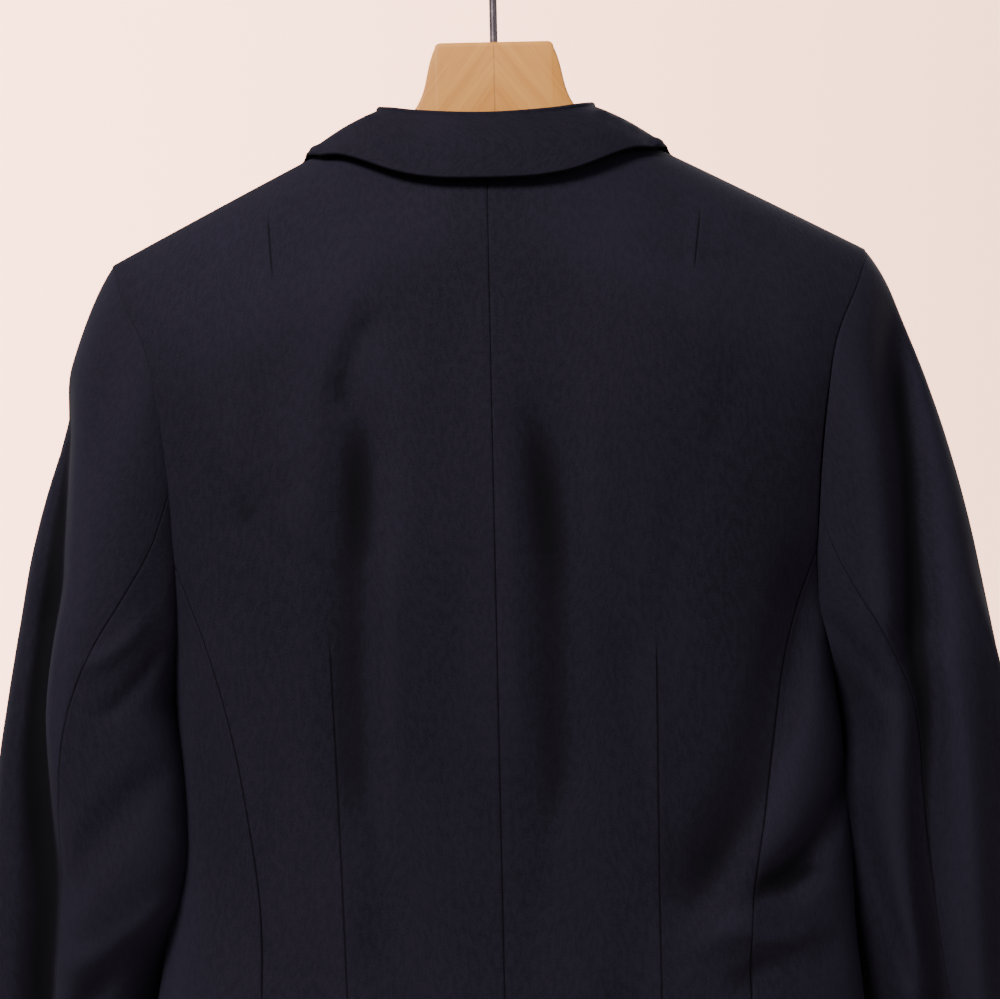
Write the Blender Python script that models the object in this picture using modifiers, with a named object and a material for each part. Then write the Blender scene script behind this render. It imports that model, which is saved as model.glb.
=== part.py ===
"""A woman's wool blazer on a wooden hanger, as the pieces it is cut and sewn from.

It hangs a little to its wearer's left of the hook, and its panels are drawn about its own middle.

Metres, +Z up. The origin is the point inside the hook where a rail holds it. The blazer faces -Y, so its
back is at +Y and the wearer's left is at +X. "drop" is the distance below the origin.
"""
import math

import bpy
import numpy as np

# Driving dimensions
WALL = 0.002
SEAM = 0.0003
TIP_DROP = 0.1887
SHOULDER_HALF = 0.1995
SHOULDER_SLOPE = 0.522
NECK_HALF = 0.075
NAPE_DROP = 0.148
NECK_ROUND = 0.030
SHOULDER_ROLL = 0.090
JOIN_DROP = 0.345
UNDERARM_DROP = 0.390
LEVEL_DROP = 0.410
HEM_DROP = 0.737
SQUARENESS = 2.4
CUFF_DROP = 0.780
SLEEVE_RING_DROP = 0.425
BREAK_DROP = 0.500
OVERLAP = 0.018
LAP_LIFT = 0.0034
LAP_CLEAR = 0.0020
HEM_CURVE_DROP = 0.650
HEM_CURVE = 0.040
GORGE = (0.068, 0.170)
NOTCH = (0.102, 0.194)
LAPEL_TIP = (0.136, 0.208)
LAPEL_BELLY = (0.094, 0.370)
ROLL_RADIUS = 0.0019
LAPEL_GAP = 0.0012
COLLAR_GAP = 0.0010
BUTTON_RADIUS = 0.010
BUTTON_DROP = 0.506
BUTTON_FORWARD = 0.0015
WIRE_RADIUS = 0.0021
HOOK_RADIUS = 0.0200
HANGER_THICKNESS = 0.012
NECK_TOP_HALF = 0.0315
NECK_TOP_DROP = 0.075
HANGER_GAP = 0.0060
HANG_SHIFT = 0.0050
HANGER_ROUND = 0.004
HANGER_CORNER = 0.003
HANGER_TIP = 0.1915
ARM_DEPTH_AT_TIP = 0.014
ARM_DEPTH_MORE = 0.026
SLEEVE_START = 0.0012
SLEEVE_START_UNDER = 0.0022
FOLD_DROP = 0.250
FOLD_DEEP = 0.017
FOLD_ANGLE = math.radians(62)
FOLD_SPREAD = math.radians(20)

# Grid sizes
BACK_COLUMNS = 16
SIDE_COLUMNS = 4
FRONT_COLUMNS = 10
LAPEL_COLUMNS = 6
LAPEL_ROWS = 12
UPPER_STEPS = (0, 0.012, 0.05, 0.12, 0.21, 0.32, 0.45, 0.60, 0.79, 1)
SIDE_TOP_STEPS = (0, 0.5, 1)
LOWER_ROWS = 12
CAP_ROWS = 8
SLEEVE_ROWS = 10
HIND_SEAM_ROW = 8
FORE_SEAM_ROW = 8


def table(columns, *rows):
    """Rows of millimetres under named columns, as metres."""
    return {name: np.array([row[i] for row in rows]) * 0.001 for i, name in enumerate(columns.split())}


# The body's section at each drop, the edges of its panels and the sleeve's section, in millimetres
BODY = table(
    "drop half_width back front",
    (95, 236, 50, 48),
    (148, 232, 61, 58),
    (200, 222, 71, 69),
    (250, 205, 77, 78),
    (300, 191, 78, 85),
    (350, 181, 75, 89),
    (400, 173, 71, 88),
    (460, 168, 65, 80),
    (530, 167, 60, 72),
    (600, 173, 65, 74),
    (680, 183, 73, 79),
    (737, 189, 76, 81),
)
ARMHOLE = table(
    "drop back front",
    (188, 199.5, 199.5),
    (207, 191.5, 189.5),
    (236, 177.5, 172),
    (268, 171, 162),
    (300, 167.5, 157),
    (345, 165.5, 158),
)
SIDE_SEAMS = table(
    "drop back front",
    (345, 165.5, 158),
    (390, 148.5, 150),
    (430, 137.5, 147),
    (475, 129, 144),
    (525, 122.5, 142),
    (570, 122, 144),
    (650, 130, 150),
    (737, 141, 158),
)
SLEEVE = table(
    "drop inner outer middle half_depth",
    (390, 174.5, 256.5, -8, 60),
    (425, 174, 262.5, -8, 58),
    (470, 172, 268.5, -9, 56),
    (530, 174.5, 273.5, -12, 53),
    (600, 187, 279, -20, 49),
    (680, 198, 284, -32, 45),
    (780, 205, 288, -46, 41),
)
# Soft troughs down the body: from one end to the other, in the plane seen from behind
BACK_FOLDS = table(
    "start_x start_drop end_x end_drop spread deep",
    (60, 225, 77, 266, 9, 2.5),
    (66, 268, 69, 450, 15, 5),
    (-27, 262, -24, 455, 14, 4.5),
    (-158, 380, -90, 515, 14, 6),
    (-172, 450, -132, 530, 12, 6),
)
# The collar, from the centre back to its front end: where its seam, roll and outer edge lie
COLLAR = table(
    "along seam_x seam_turn roll_x roll_y roll_drop edge_x edge_turn",
    (0, 0, 62, 0, 50, 119.6, 0, 69.5),
    (260, 34, 54, 33, 44, 117, 43, 58.5),
    (460, 62, 28, 52.5, 24, 111.5, 74, 36),
    (600, 73, 2, 56.5, 2, 109, 93, 14),
    (740, 71.3, -24, 57, -18, 117, 105, -12),
    (880, 67.6, -43, 59.5, -42, 136, 115, -32),
    (1000, 63.8, -61, 61, -53.5, 156, 123, -40),
)


def smooth(rows, column, at):
    """The column's value where the table's first column has the value at, on a smooth curve."""
    keys, values = next(iter(rows.values())), rows[column]
    slopes = np.gradient(values, keys)
    at = np.clip(at, keys[0], keys[-1])
    i = np.clip(np.searchsorted(keys, at) - 1, 0, len(keys) - 2)
    span = keys[i + 1] - keys[i]
    t = (at - keys[i]) / span
    start = (1 + 2 * t) * (1 - t) ** 2 * values[i] + t * (1 - t) ** 2 * span * slopes[i]
    return start + t * t * (3 - 2 * t) * values[i + 1] - t * t * (1 - t) * span * slopes[i + 1]


def ease(t):
    """A soft step from 0 to 1."""
    t = np.clip(t, 0, 1)
    return t * t * (3 - 2 * t)


def hermite(start, start_way, end, end_way, t):
    """A point on the curve that leaves start and reaches end along the given ways."""
    at_start = (1 + 2 * t) * (1 - t) ** 2 * start + t * (1 - t) ** 2 * start_way
    return at_start + t * t * (3 - 2 * t) * end - t * t * (1 - t) * end_way


# The body's form

def ridge(x):
    """The drop of the shoulder line."""
    reach = math.hypot(SHOULDER_HALF, NECK_ROUND) - np.hypot(x, NECK_ROUND)
    return TIP_DROP - SHOULDER_SLOPE * reach


def section_depth(x, drop, face):
    """Depth of the body at x before it rounds over the shoulder: behind (face 1) or before (face -1)."""
    across = np.minimum(np.abs(x) / smooth(BODY, "half_width", drop), 1)
    full = smooth(BODY, "back" if face > 0 else "front", drop)
    return full * (1 - across ** SQUARENESS) ** (1 / SQUARENESS)


def trough(x, drop):
    """How deep the back's folds are at a place."""
    deep = 0
    for i in range(len(BACK_FOLDS["deep"])):
        start_x, start_drop, end_x, end_drop, spread, full = (BACK_FOLDS[name][i] for name in BACK_FOLDS)
        way_x, way_drop = end_x - start_x, end_drop - start_drop
        length = math.hypot(way_x, way_drop)
        along = ((x - start_x) * way_x + (drop - start_drop) * way_drop) / length
        aside = ((x - start_x) * way_drop - (drop - start_drop) * way_x) / length
        ends = ease(along / spread / 2 + 0.5) * ease((length - along) / spread / 2 + 0.5)
        deep = deep + full * ends * np.exp(-((aside / spread) ** 2))
    return deep


def body_depth(x, drop, face):
    """The Y of the cloth's outer face."""
    over = np.clip((drop - ridge(x)) / SHOULDER_ROLL, 0, 1)
    depth = section_depth(x, drop, face) * np.sqrt(1 - (1 - over) ** 2)
    return face * (depth - (trough(x, drop) if face > 0 else 0))


def unit(ways):
    """The directions with a length of 1."""
    return ways / np.linalg.norm(ways, axis=-1, keepdims=True)


def outward(depth_at, x, drop, face):
    """The outward direction of the face whose Y is depth_at(x, drop)."""
    step = 5e-5
    drop = np.maximum(drop, ridge(x) + step)
    by_x = (depth_at(x + step, drop) - depth_at(x - step, drop)) / (2 * step)
    by_drop = (depth_at(x, drop + step) - depth_at(x, drop - step)) / (2 * step)
    return unit(np.stack([-face * by_x, np.full_like(by_x, face), face * by_drop], axis=-1))


def shoulder_point(x, turn, clear):
    """A place on the shoulder, turned back (+) or forward (-) from its line, and moved out by clear."""
    face = 1 if turn >= 0 else -1
    drop = ridge(x) + SHOULDER_ROLL * (1 - math.cos(turn))
    y = section_depth(x, drop, face) * math.sin(turn)
    out = np.array([0.25, math.sin(turn), 0.9 * math.cos(turn)])
    return np.array([x, y, -drop]) + clear * out / np.linalg.norm(out)


def clear_of_body(point, clear):
    """The point, moved straight out where it lies closer to the body than clear."""
    for _ in range(3):
        x, drop = point[0], -point[2]
        face = 1 if point[1] >= 0 else -1
        below = drop - ridge(x)
        if below <= 0:
            room = -0.88 * below
            way = np.array([0.46, 0, 0.88])
        else:
            way = outward(lambda at, low: body_depth(at, low, face), np.array([x]), np.array([drop]), face)[0]
            room = (abs(point[1]) - abs(body_depth(x, drop, face))) * abs(way[1])
        if room >= clear:
            break
        point = point + way * (clear - room)
    return point


def section_angle(x, drop, face):
    """The angle round the body's section, from the centre back, of the place at x."""
    across = np.clip(x / smooth(BODY, "half_width", drop), 0, 1)
    angle = math.asin(across ** (SQUARENESS / 2))
    return angle if face > 0 else math.pi - angle


def around(angle, drop, side):
    """The place at an angle round the body's section."""
    x = smooth(BODY, "half_width", drop) * math.sin(angle) ** (2 / SQUARENESS)
    face = 1 if math.cos(angle) >= 0 else -1
    full = smooth(BODY, "back" if face > 0 else "front", drop)
    y = face * full * abs(math.cos(angle)) ** (2 / SQUARENESS)
    if face > 0:
        y -= trough(side * x, drop) * ease(y / 0.020)
    return np.array([x, y, -drop])


def lower_levels():
    """The drops of the rows that all body panels share, from the underarm to the hem."""
    upper = LEVEL_DROP + (JOIN_DROP - LEVEL_DROP) * np.array(SIDE_TOP_STEPS[::-1])
    return np.concatenate([upper, np.linspace(LEVEL_DROP, HEM_DROP, LOWER_ROWS + 1)[1:]])


def neck_drop(x):
    """The drop of the back's top edge: the neck seam, and then the shoulder line."""
    dip = NAPE_DROP + (ridge(NECK_HALF) - NAPE_DROP) * (np.minimum(x / NECK_HALF, 1)) ** 2.2
    return np.where(x < NECK_HALF, dip, ridge(x))


# The body's panels, each as a grid of points on the wearer's left: rows go down, columns go outwards

def back_grid(side):
    """From the centre back to the armhole and the back's side seam."""
    def depth_at(x, drop):
        return body_depth(side * x, drop, 1)

    across = np.linspace(0, 1, BACK_COLUMNS + 1)
    top = neck_drop(across * SHOULDER_HALF)
    drops = [top + (JOIN_DROP - top) * step for step in UPPER_STEPS]
    drops += [np.full_like(across, drop) for drop in lower_levels()[1:]]
    points, ways = [], []
    for k, drop in enumerate(drops):
        edges = ARMHOLE if k < len(UPPER_STEPS) else SIDE_SEAMS
        outer = smooth(edges, "back", drop[-1]) - SEAM / 2
        x = SEAM / 2 + (outer - SEAM / 2) * across
        y = np.maximum(depth_at(x, drop), SEAM / 2)
        points.append(np.stack([x, y, -drop], axis=1))
        ways.append(outward(depth_at, x, drop, 1))
    return np.array(points), np.array(ways)


def roll_x(drop):
    """Where the front edge runs: the roll line down to the break, and then past the centre front."""
    t = (drop - ridge(NECK_HALF)) / (BREAK_DROP - ridge(NECK_HALF))
    edge = NECK_HALF + (-OVERLAP - NECK_HALF) * np.clip(t, 0, 1)
    return edge + HEM_CURVE * np.clip((drop - HEM_CURVE_DROP) / (HEM_DROP - HEM_CURVE_DROP), 0, 1) ** 2.4


def front_depth(x, drop, side):
    """The Y of a front's outer face: the wearer's right front laps over the left."""
    lift = LAP_LIFT * ease((0.050 - x) / 0.035) if side < 0 else 0
    return body_depth(x, drop, -1) - lift


def front_grid(side):
    """From the front edge to the armhole and the front's side seam."""
    def depth_at(x, drop):
        return front_depth(x, drop, side)

    across = np.linspace(0, 1, FRONT_COLUMNS + 1)
    top = ridge(NECK_HALF + (SHOULDER_HALF - NECK_HALF) * across)
    drops = [top + (JOIN_DROP - top) * step for step in UPPER_STEPS]
    drops += [np.full_like(across, drop) for drop in lower_levels()[1:]]
    points, ways = [], []
    for k, drop in enumerate(drops):
        edges = ARMHOLE if k < len(UPPER_STEPS) else SIDE_SEAMS
        outer = smooth(edges, "front", drop[-1]) - SEAM / 2
        inner = roll_x(drop[0])
        x = inner + (outer - inner) * across
        y = np.minimum(depth_at(x, drop), -SEAM / 2)
        points.append(np.stack([x, y, -drop], axis=1))
        ways.append(outward(depth_at, x, drop, -1))
    return np.array(points), np.array(ways)


def side_grid(side):
    """The panel under the arm, from the back's side seam to the front's."""
    tops = len(SIDE_TOP_STEPS)
    points, ways = [], []
    for k, level in enumerate(lower_levels()):
        back = section_angle(smooth(SIDE_SEAMS, "back", level), level, 1)
        front = section_angle(smooth(SIDE_SEAMS, "front", level), level, -1)
        for t in np.linspace(0, 1, SIDE_COLUMNS + 1):
            sag = (UNDERARM_DROP - JOIN_DROP) * (1 - (2 * t - 1) ** 4) * max(0, 1 - k / (tops - 1))
            angle, drop = back + (front - back) * t, level + sag
            here = around(angle, drop, side)
            turn = around(angle + 1e-3, drop, side) - around(angle - 1e-3, drop, side)
            fall = around(angle, drop + 1e-4, side) - around(angle, drop - 1e-4, side)
            points.append(here + unit(turn) * SEAM / 2 * (1 - 2 * t))
            ways.append(unit(np.cross(turn, fall)))
    shape = (-1, SIDE_COLUMNS + 1, 3)
    return np.array(points).reshape(shape), np.array(ways).reshape(shape)


def lapel_grid(side):
    """The lapel, which lies on its front from the roll line to its own edge."""
    def depth_at(x, drop):
        return front_depth(x, drop, side)

    start = BREAK_DROP - 0.014
    first = np.array([OVERLAP + 0.008 if side > 0 else roll_x(start) + 0.006, start])
    belly, tip = np.array(LAPEL_BELLY), np.array(LAPEL_TIP)
    bend = np.array(NOTCH) + np.array([0, 0.0008])
    half = LAPEL_COLUMNS // 2 / LAPEL_COLUMNS
    points, ways = [], []
    for t in np.linspace(0, 1, LAPEL_ROWS + 1):
        inner_drop = start + (GORGE[1] - start) * t
        inner = np.array([roll_x(inner_drop) + 0.0006, inner_drop])
        if side > 0:
            inner[0] = max(inner[0], LAP_CLEAR - roll_x(inner_drop))
        outer = (1 - t) ** 2 * first + 2 * t * (1 - t) * belly + t * t * tip
        w = np.linspace(0, 1, LAPEL_COLUMNS + 1)[:, None]
        flat = inner + (outer - inner) * w
        if t > 0.999:
            beyond = bend + (outer - bend) * (w - half) / half
            flat = np.where(w <= half, inner + (bend - inner) * w / half, beyond)
        x, drop = flat[:, 0], flat[:, 1]
        way = outward(depth_at, x, drop, -1)
        proud = WALL + LAPEL_GAP + 0.0010 * np.sin(math.pi * w) * ease(t * 3)
        points.append(np.stack([x, depth_at(x, drop), -drop], axis=1) + way * proud)
        ways.append(way)
    return np.array(points), np.array(ways)


def grid_ways(grid, closed=False):
    """The directions square to a grid of points whose rows go down and columns go round by the left."""
    down = np.gradient(grid, axis=0)
    if closed:
        turn = np.roll(grid, -1, axis=1) - np.roll(grid, 1, axis=1)
    else:
        turn = np.gradient(grid, axis=1)
    return unit(np.cross(turn, down))


def collar_grid():
    """Half of the collar, from the centre back to its front end, as the middle of its wall."""
    columns = []
    for s in np.linspace(0, 1, 13):
        place = {name: float(smooth(COLLAR, name, s)) for name in COLLAR}
        roll = np.array([place["roll_x"], place["roll_y"], -place["roll_drop"]])
        seam = shoulder_point(place["seam_x"], math.radians(place["seam_turn"] * 1000), -WALL / 2)
        seam = seam + unit(roll - seam) * 0.0016
        edge = shoulder_point(place["edge_x"], math.radians(place["edge_turn"] * 1000), WALL / 2 + COLLAR_GAP)
        out = unit((edge - seam) * np.array([1, 1, 0]))
        centre = roll - np.array([0, 0, ROLL_RADIUS + WALL / 2])
        inside, outside = centre - out * ROLL_RADIUS, centre + out * ROLL_RADIUS
        column = [seam, (seam + inside) / 2]
        for a in np.radians([180, 135, 90, 45, 0]):
            column.append(centre + ROLL_RADIUS * (out * math.cos(a) + np.array([0, 0, 1]) * math.sin(a)))
        end = ease((s - 0.80) / 0.20)
        for w in (0.22, 0.42, 0.62, 0.82, 1):
            bow = np.array([0.006, -0.001, -0.027]) * end * 4 * w * (1 - w)
            bow = bow + np.array([0, 0, 0.0016]) * math.sin(math.pi * w)
            column.append(clear_of_body(outside + (edge - outside) * w + bow, WALL / 2 + COLLAR_GAP))
        columns.append(column)
    half = np.array(columns)
    whole = np.concatenate([half[:0:-1] * np.array([-1, 1, 1]), half])
    return whole.transpose(1, 0, 2)


# The sleeve's form

def armhole_loop():
    """The left armhole's edge: from the shoulder tip down the back, under the arm and up the front."""
    count = len(UPPER_STEPS)
    back, front, side = back_grid(1)[0][:count, -1], front_grid(1)[0][:count, -1], side_grid(1)[0][0]
    loop = np.concatenate([back, side[1:-1], front[:0:-1]])
    loop[0, 1] = 0
    return loop


def sleeve_ring(drop, angle):
    """A place round the hanging sleeve: angle 0 is its outer side and a quarter turn is its back."""
    inner, outer = smooth(SLEEVE, "inner", drop), smooth(SLEEVE, "outer", drop)
    middle, half_depth = smooth(SLEEVE, "middle", drop), smooth(SLEEVE, "half_depth", drop)
    x = (inner + outer) / 2 + (outer - inner) / 2 * np.cos(angle)
    return np.array([x, middle + half_depth * np.sin(angle), -drop])


def sleeve_trough(drop, angle):
    """How deep the long fold is at a place round the sleeve."""
    aside = (angle - FOLD_ANGLE) / FOLD_SPREAD
    return FOLD_DEEP * ease((drop - FOLD_DROP) / 0.16) * math.exp(-(aside ** 2))


def sleeve_grid():
    """Rows go down from the armhole to the cuff, columns from the shoulder tip round by the back."""
    loop = armhole_loop()
    steps = np.linalg.norm(np.roll(loop, -1, axis=0) - loop, axis=1)
    angles = 2 * math.pi * np.concatenate([[0], np.cumsum(steps)[:-1]]) / steps.sum()
    cap, tube = [], []
    for point, angle in zip(loop, angles):
        start = point + np.array([SLEEVE_START + SLEEVE_START_UNDER * ease(-math.cos(angle) * 2 - 0.4), 0, 0])
        end = sleeve_ring(SLEEVE_RING_DROP, angle)
        fall = start[2] - end[2]
        outward = 0.5 + 0.5 * math.cos(angle)
        sink = 0.11 * outward + 0.6 * fall * (1 - outward)
        start_way = np.array([0.09 * outward, 0.022 * math.sin(angle), -sink])
        end_way = np.array([0.03 * outward, 0, -1.05 * fall])
        cap.append([hermite(start, start_way, end, end_way, t) for t in np.linspace(0, 1, CAP_ROWS + 1)])
    for drop in np.linspace(SLEEVE_RING_DROP, CUFF_DROP, SLEEVE_ROWS + 1)[1:]:
        tube.append([sleeve_ring(drop, angle) for angle in angles])
    grid = np.concatenate([np.array(cap).transpose(1, 0, 2), np.array(tube)])
    for k, row in enumerate(grid):
        centre = row.mean(axis=0)
        for j, angle in enumerate(angles):
            inward = unit((centre - row[j]) * np.array([0.35, 1, 0]))
            row[j] = row[j] + inward * sleeve_trough(-row[j][2], angle) * min(1, k / 3)
    return grid


# Making objects

def material(name, colour, roughness, metallic=0.0):
    """A new plain material."""
    made = bpy.data.materials.new(name)
    made.use_nodes = True
    shader = made.node_tree.nodes["Principled BSDF"]
    shader.inputs["Base Color"].default_value = (*colour, 1)
    shader.inputs["Roughness"].default_value = roughness
    shader.inputs["Metallic"].default_value = metallic
    return made


def add(name, data, finish, smooth_faces=True):
    """A new object in the blazer's collection."""
    thing = bpy.data.objects.new(name, data)
    blazer.objects.link(thing)
    data.materials.append(finish)
    if smooth_faces and thing.type == "MESH":
        data.shade_smooth()
    return thing


def cloth(name, side, points, ways, above=0.0):
    """A wall of cloth: outer points and inner ones a wall's thickness behind them, closed at the edge."""
    rows, columns = points.shape[:2]
    flip = np.array([side, 1, 1])
    outer, inner = points + ways * above, points + ways * (above - WALL)
    spots = np.concatenate([outer.reshape(-1, 3), inner.reshape(-1, 3)]) * flip + np.array([HANG_SHIFT, 0, 0])
    under = rows * columns
    faces = []
    for r in range(rows - 1):
        for c in range(columns - 1):
            face = [r * columns + c, r * columns + c + 1, (r + 1) * columns + c + 1, (r + 1) * columns + c]
            faces += [face, [i + under for i in reversed(face)]]
    edge = [c for c in range(columns)] + [r * columns + columns - 1 for r in range(1, rows)]
    edge += [(rows - 1) * columns + c for c in range(columns - 2, -1, -1)]
    edge += [r * columns for r in range(rows - 2, 0, -1)]
    for a, b in zip(edge, edge[1:] + edge[:1]):
        faces.append([b, a, a + under, b + under])
    mesh = bpy.data.meshes.new(name)
    mesh.from_pydata(spots.tolist(), [], faces if side > 0 else [face[::-1] for face in faces])
    return add(name, mesh, material(name + "_wool", (0.014, 0.014, 0.024), 0.9))


def make_body():
    """The back, side and front panels with their lapels, left and right."""
    for side, word in ((1, "left"), (-1, "right")):
        cloth("back_" + word, side, *back_grid(side))
        cloth("side_" + word, side, *side_grid(side))
        points, ways = front_grid(side)
        cloth("front_" + word, side, points[:, ::-1], ways[:, ::-1])
        points, ways = lapel_grid(side)
        cloth("lapel_" + word, side, points[::-1, ::-1], ways[::-1, ::-1])


def make_collar():
    """The collar in one piece, round the neck from one front end to the other."""
    grid = collar_grid()
    cloth("collar", 1, grid, grid_ways(grid), above=WALL / 2)


def make_sleeves():
    """Each sleeve's outer and inner piece, parted along the hind-arm and forearm seams."""
    grid = sleeve_grid()
    ways = -grid_ways(grid, closed=True)
    columns = grid.shape[1]
    hind, fore = HIND_SEAM_ROW, columns - FORE_SEAM_ROW
    outer = [j % columns for j in range(fore, columns + hind + 1)]
    inner = list(range(hind, fore + 1))
    for side, word in ((1, "left"), (-1, "right")):
        for name, pick in (("sleeve_top_", outer), ("sleeve_under_", inner)):
            piece = grid[:, pick].copy()
            for edge, beside in ((0, 1), (-1, -2)):
                piece[:, edge] += unit(piece[:, beside] - piece[:, edge]) * SEAM / 2
            cloth(name + word, side, piece[:, ::-1], ways[:, pick][:, ::-1])


def make_button():
    """A turned button with a dished face, on the closure."""
    profile = ((0, 0), (0.85, 0), (0.97, 0.1), (1, 0.22), (0.94, 0.31), (0.85, 0.34), (0.76, 0.29), (0, 0.25))
    spots = [(out * BUTTON_RADIUS, 0, up * BUTTON_RADIUS) for out, up in reversed(profile)]
    mesh = bpy.data.meshes.new("button")
    mesh.from_pydata(spots, [(i, i + 1) for i in range(len(spots) - 1)], [])
    button = add("button", mesh, material("button_horn", (0.012, 0.012, 0.018), 0.35))
    turn = button.modifiers.new("turn", "SCREW")
    turn.steps = turn.render_steps = 24
    turn.use_merge_vertices = True
    turn.merge_threshold = 0.0001
    front = front_depth(np.array([0.0]), np.array([BUTTON_DROP]), -1)[0]
    button.rotation_euler = (math.radians(90), 0, 0)
    button.location = (HANG_SHIFT, front - BUTTON_FORWARD, -BUTTON_DROP)


def hanger_outline():
    """The wood's top edge on the wearer's left, from the centre to the arm's end, as (x, drop)."""
    corner, root, tip = HANGER_CORNER, 0.090, HANGER_TIP
    top = [(0, NECK_TOP_DROP), (NECK_TOP_HALF - corner, NECK_TOP_DROP)]
    top += [(NECK_TOP_HALF - 0.3 * corner, NECK_TOP_DROP + 0.3 * corner)]
    start, end = np.array([NECK_TOP_HALF, NECK_TOP_DROP + corner]), np.array([root, ridge(root) + HANGER_GAP])
    for t in np.linspace(0, 1, 9):
        top.append(tuple(hermite(start, np.array([0.006, 0.066]), end, np.array([0.142, 0.062]), t)))
    top += [(x, ridge(x) + HANGER_GAP) for x in np.linspace(root, tip - 0.006, 8)[1:]]
    top += [(tip - 0.002, ridge(tip) + HANGER_GAP + 0.0015), (tip, ridge(tip) + HANGER_GAP + 0.005)]
    return top


def make_hanger():
    """The wood is lofted along its length through upright sections with rounded corners."""
    wood = material("hanger_wood", (0.62, 0.38, 0.17), 0.5)
    half = hanger_outline()
    stations = [(-x, drop) for x, drop in half[:0:-1]] + half
    tip = half[-1][0]
    points = []
    for x, drop in stations:
        deep = ARM_DEPTH_AT_TIP + ARM_DEPTH_MORE * ease((tip - abs(x)) / 0.16)
        low = ridge(x) + HANGER_GAP + deep - 0.005 * ease((abs(x) - tip) / 0.006 + 1)
        radius = min(HANGER_ROUND, (low - drop) * 0.45)
        for corner_y, corner_z, first in ((1, 1, 0), (-1, 1, 90), (-1, -1, 180), (1, -1, 270)):
            for angle in np.radians([first, first + 45, first + 90]):
                y = corner_y * (HANGER_THICKNESS / 2 - radius) + radius * math.cos(angle)
                edge = -drop - radius if corner_z > 0 else -low + radius
                points.append((x, y, edge + radius * math.sin(angle)))
    ring = 12
    faces = [tuple(range(ring))[::-1], tuple(range(len(points) - ring, len(points)))]
    for k in range(len(stations) - 1):
        for j in range(ring):
            a, b = k * ring + j, k * ring + (j + 1) % ring
            faces.append((a, b, b + ring, a + ring))
    mesh = bpy.data.meshes.new("hanger")
    mesh.from_pydata(points, [], faces)
    add("hanger", mesh, wood, smooth_faces=False)


def hook_route():
    """The middle of the hook's wire: up from the wood, and over the rail to its open end."""
    centre = np.array([0, WIRE_RADIUS - HOOK_RADIUS])
    rod_top = np.array([0, -0.056])
    route = [np.array([0, -NECK_TOP_DROP + SEAM]), rod_top]
    first = math.radians(-42)
    entry = centre + HOOK_RADIUS * np.array([math.cos(first), math.sin(first)])
    way = np.array([-math.sin(first), math.cos(first)])
    route += [hermite(rod_top, np.array([0, 0.030]), entry, way * 0.030, t) for t in np.linspace(0, 1, 6)[1:]]
    for angle in np.radians(np.linspace(-42, 195, 20))[1:]:
        route.append(centre + HOOK_RADIUS * np.array([math.cos(angle), math.sin(angle)]))
    return route


def make_hook():
    """The hook's wire, bent over the rail."""
    wire = bpy.data.curves.new("hanger_hook", "CURVE")
    wire.dimensions = "3D"
    wire.bevel_depth = WIRE_RADIUS
    wire.bevel_resolution = 2
    wire.use_fill_caps = True
    route = hook_route()
    line = wire.splines.new("POLY")
    line.points.add(len(route) - 1)
    for spot, (x, z) in zip(line.points, route):
        spot.co = (x, 0, z, 1)
    add("hanger_hook", wire, material("hook_steel", (0.42, 0.41, 0.44), 0.35, 1.0))


for old in list(bpy.data.objects):
    bpy.data.objects.remove(old)
blazer = bpy.data.collections.new("blazer")
bpy.context.scene.collection.children.link(blazer)
make_body()
make_collar()
make_sleeves()
make_button()
make_hanger()
make_hook()
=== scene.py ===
"""The looks of a woman's navy wool blazer on a wooden hanger, around the part's fixed frame.

Metres, +Z up. The blazer faces -Y, so its back is at +Y, and the wearer's left is at +X. "drop" is the
distance below the point where a rail holds the hook. Tables are in millimetres.
"""

import math

import bpy
import numpy as np
from mathutils import Matrix, Vector


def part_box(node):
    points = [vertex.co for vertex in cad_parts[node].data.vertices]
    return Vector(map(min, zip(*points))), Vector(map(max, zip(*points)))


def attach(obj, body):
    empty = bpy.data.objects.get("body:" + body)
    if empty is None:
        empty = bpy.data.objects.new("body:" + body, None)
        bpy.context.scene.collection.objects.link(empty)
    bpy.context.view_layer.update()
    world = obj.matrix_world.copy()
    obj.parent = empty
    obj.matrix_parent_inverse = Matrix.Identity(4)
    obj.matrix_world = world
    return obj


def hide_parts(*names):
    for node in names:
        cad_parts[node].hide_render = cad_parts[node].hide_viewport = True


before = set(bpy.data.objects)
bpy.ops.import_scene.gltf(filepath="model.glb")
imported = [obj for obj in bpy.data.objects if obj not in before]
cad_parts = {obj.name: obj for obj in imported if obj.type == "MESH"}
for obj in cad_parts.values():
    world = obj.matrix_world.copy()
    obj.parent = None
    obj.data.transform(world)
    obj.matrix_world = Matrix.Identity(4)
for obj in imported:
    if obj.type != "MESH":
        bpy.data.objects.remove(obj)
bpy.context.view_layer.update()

# Driving dimensions, as in the part
TIP_DROP = 0.1887
SHOULDER_HALF = 0.1995
SHOULDER_SLOPE = 0.522
NECK_HALF = 0.075
NAPE_DROP = 0.148
NECK_ROUND = 0.030
SHOULDER_ROLL = 0.090
JOIN_DROP = 0.345
UNDERARM_DROP = 0.390
LEVEL_DROP = 0.410
HEM_DROP = 0.737
SQUARENESS = 2.4
CUFF_DROP = 0.780
SLEEVE_RING_DROP = 0.425
BREAK_DROP = 0.500
OVERLAP = 0.018
LAP_LIFT = 0.0034
LAP_CLEAR = 0.0020
HEM_CURVE_DROP = 0.650
HEM_CURVE = 0.040
GORGE = (0.068, 0.170)
NOTCH = (0.102, 0.194)
LAPEL_TIP = (0.136, 0.208)
LAPEL_BELLY = (0.094, 0.370)
BUTTON_RADIUS = 0.010
BUTTON_DROP = 0.506
WIRE_RADIUS = 0.0021
HOOK_RADIUS = 0.0200

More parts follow.
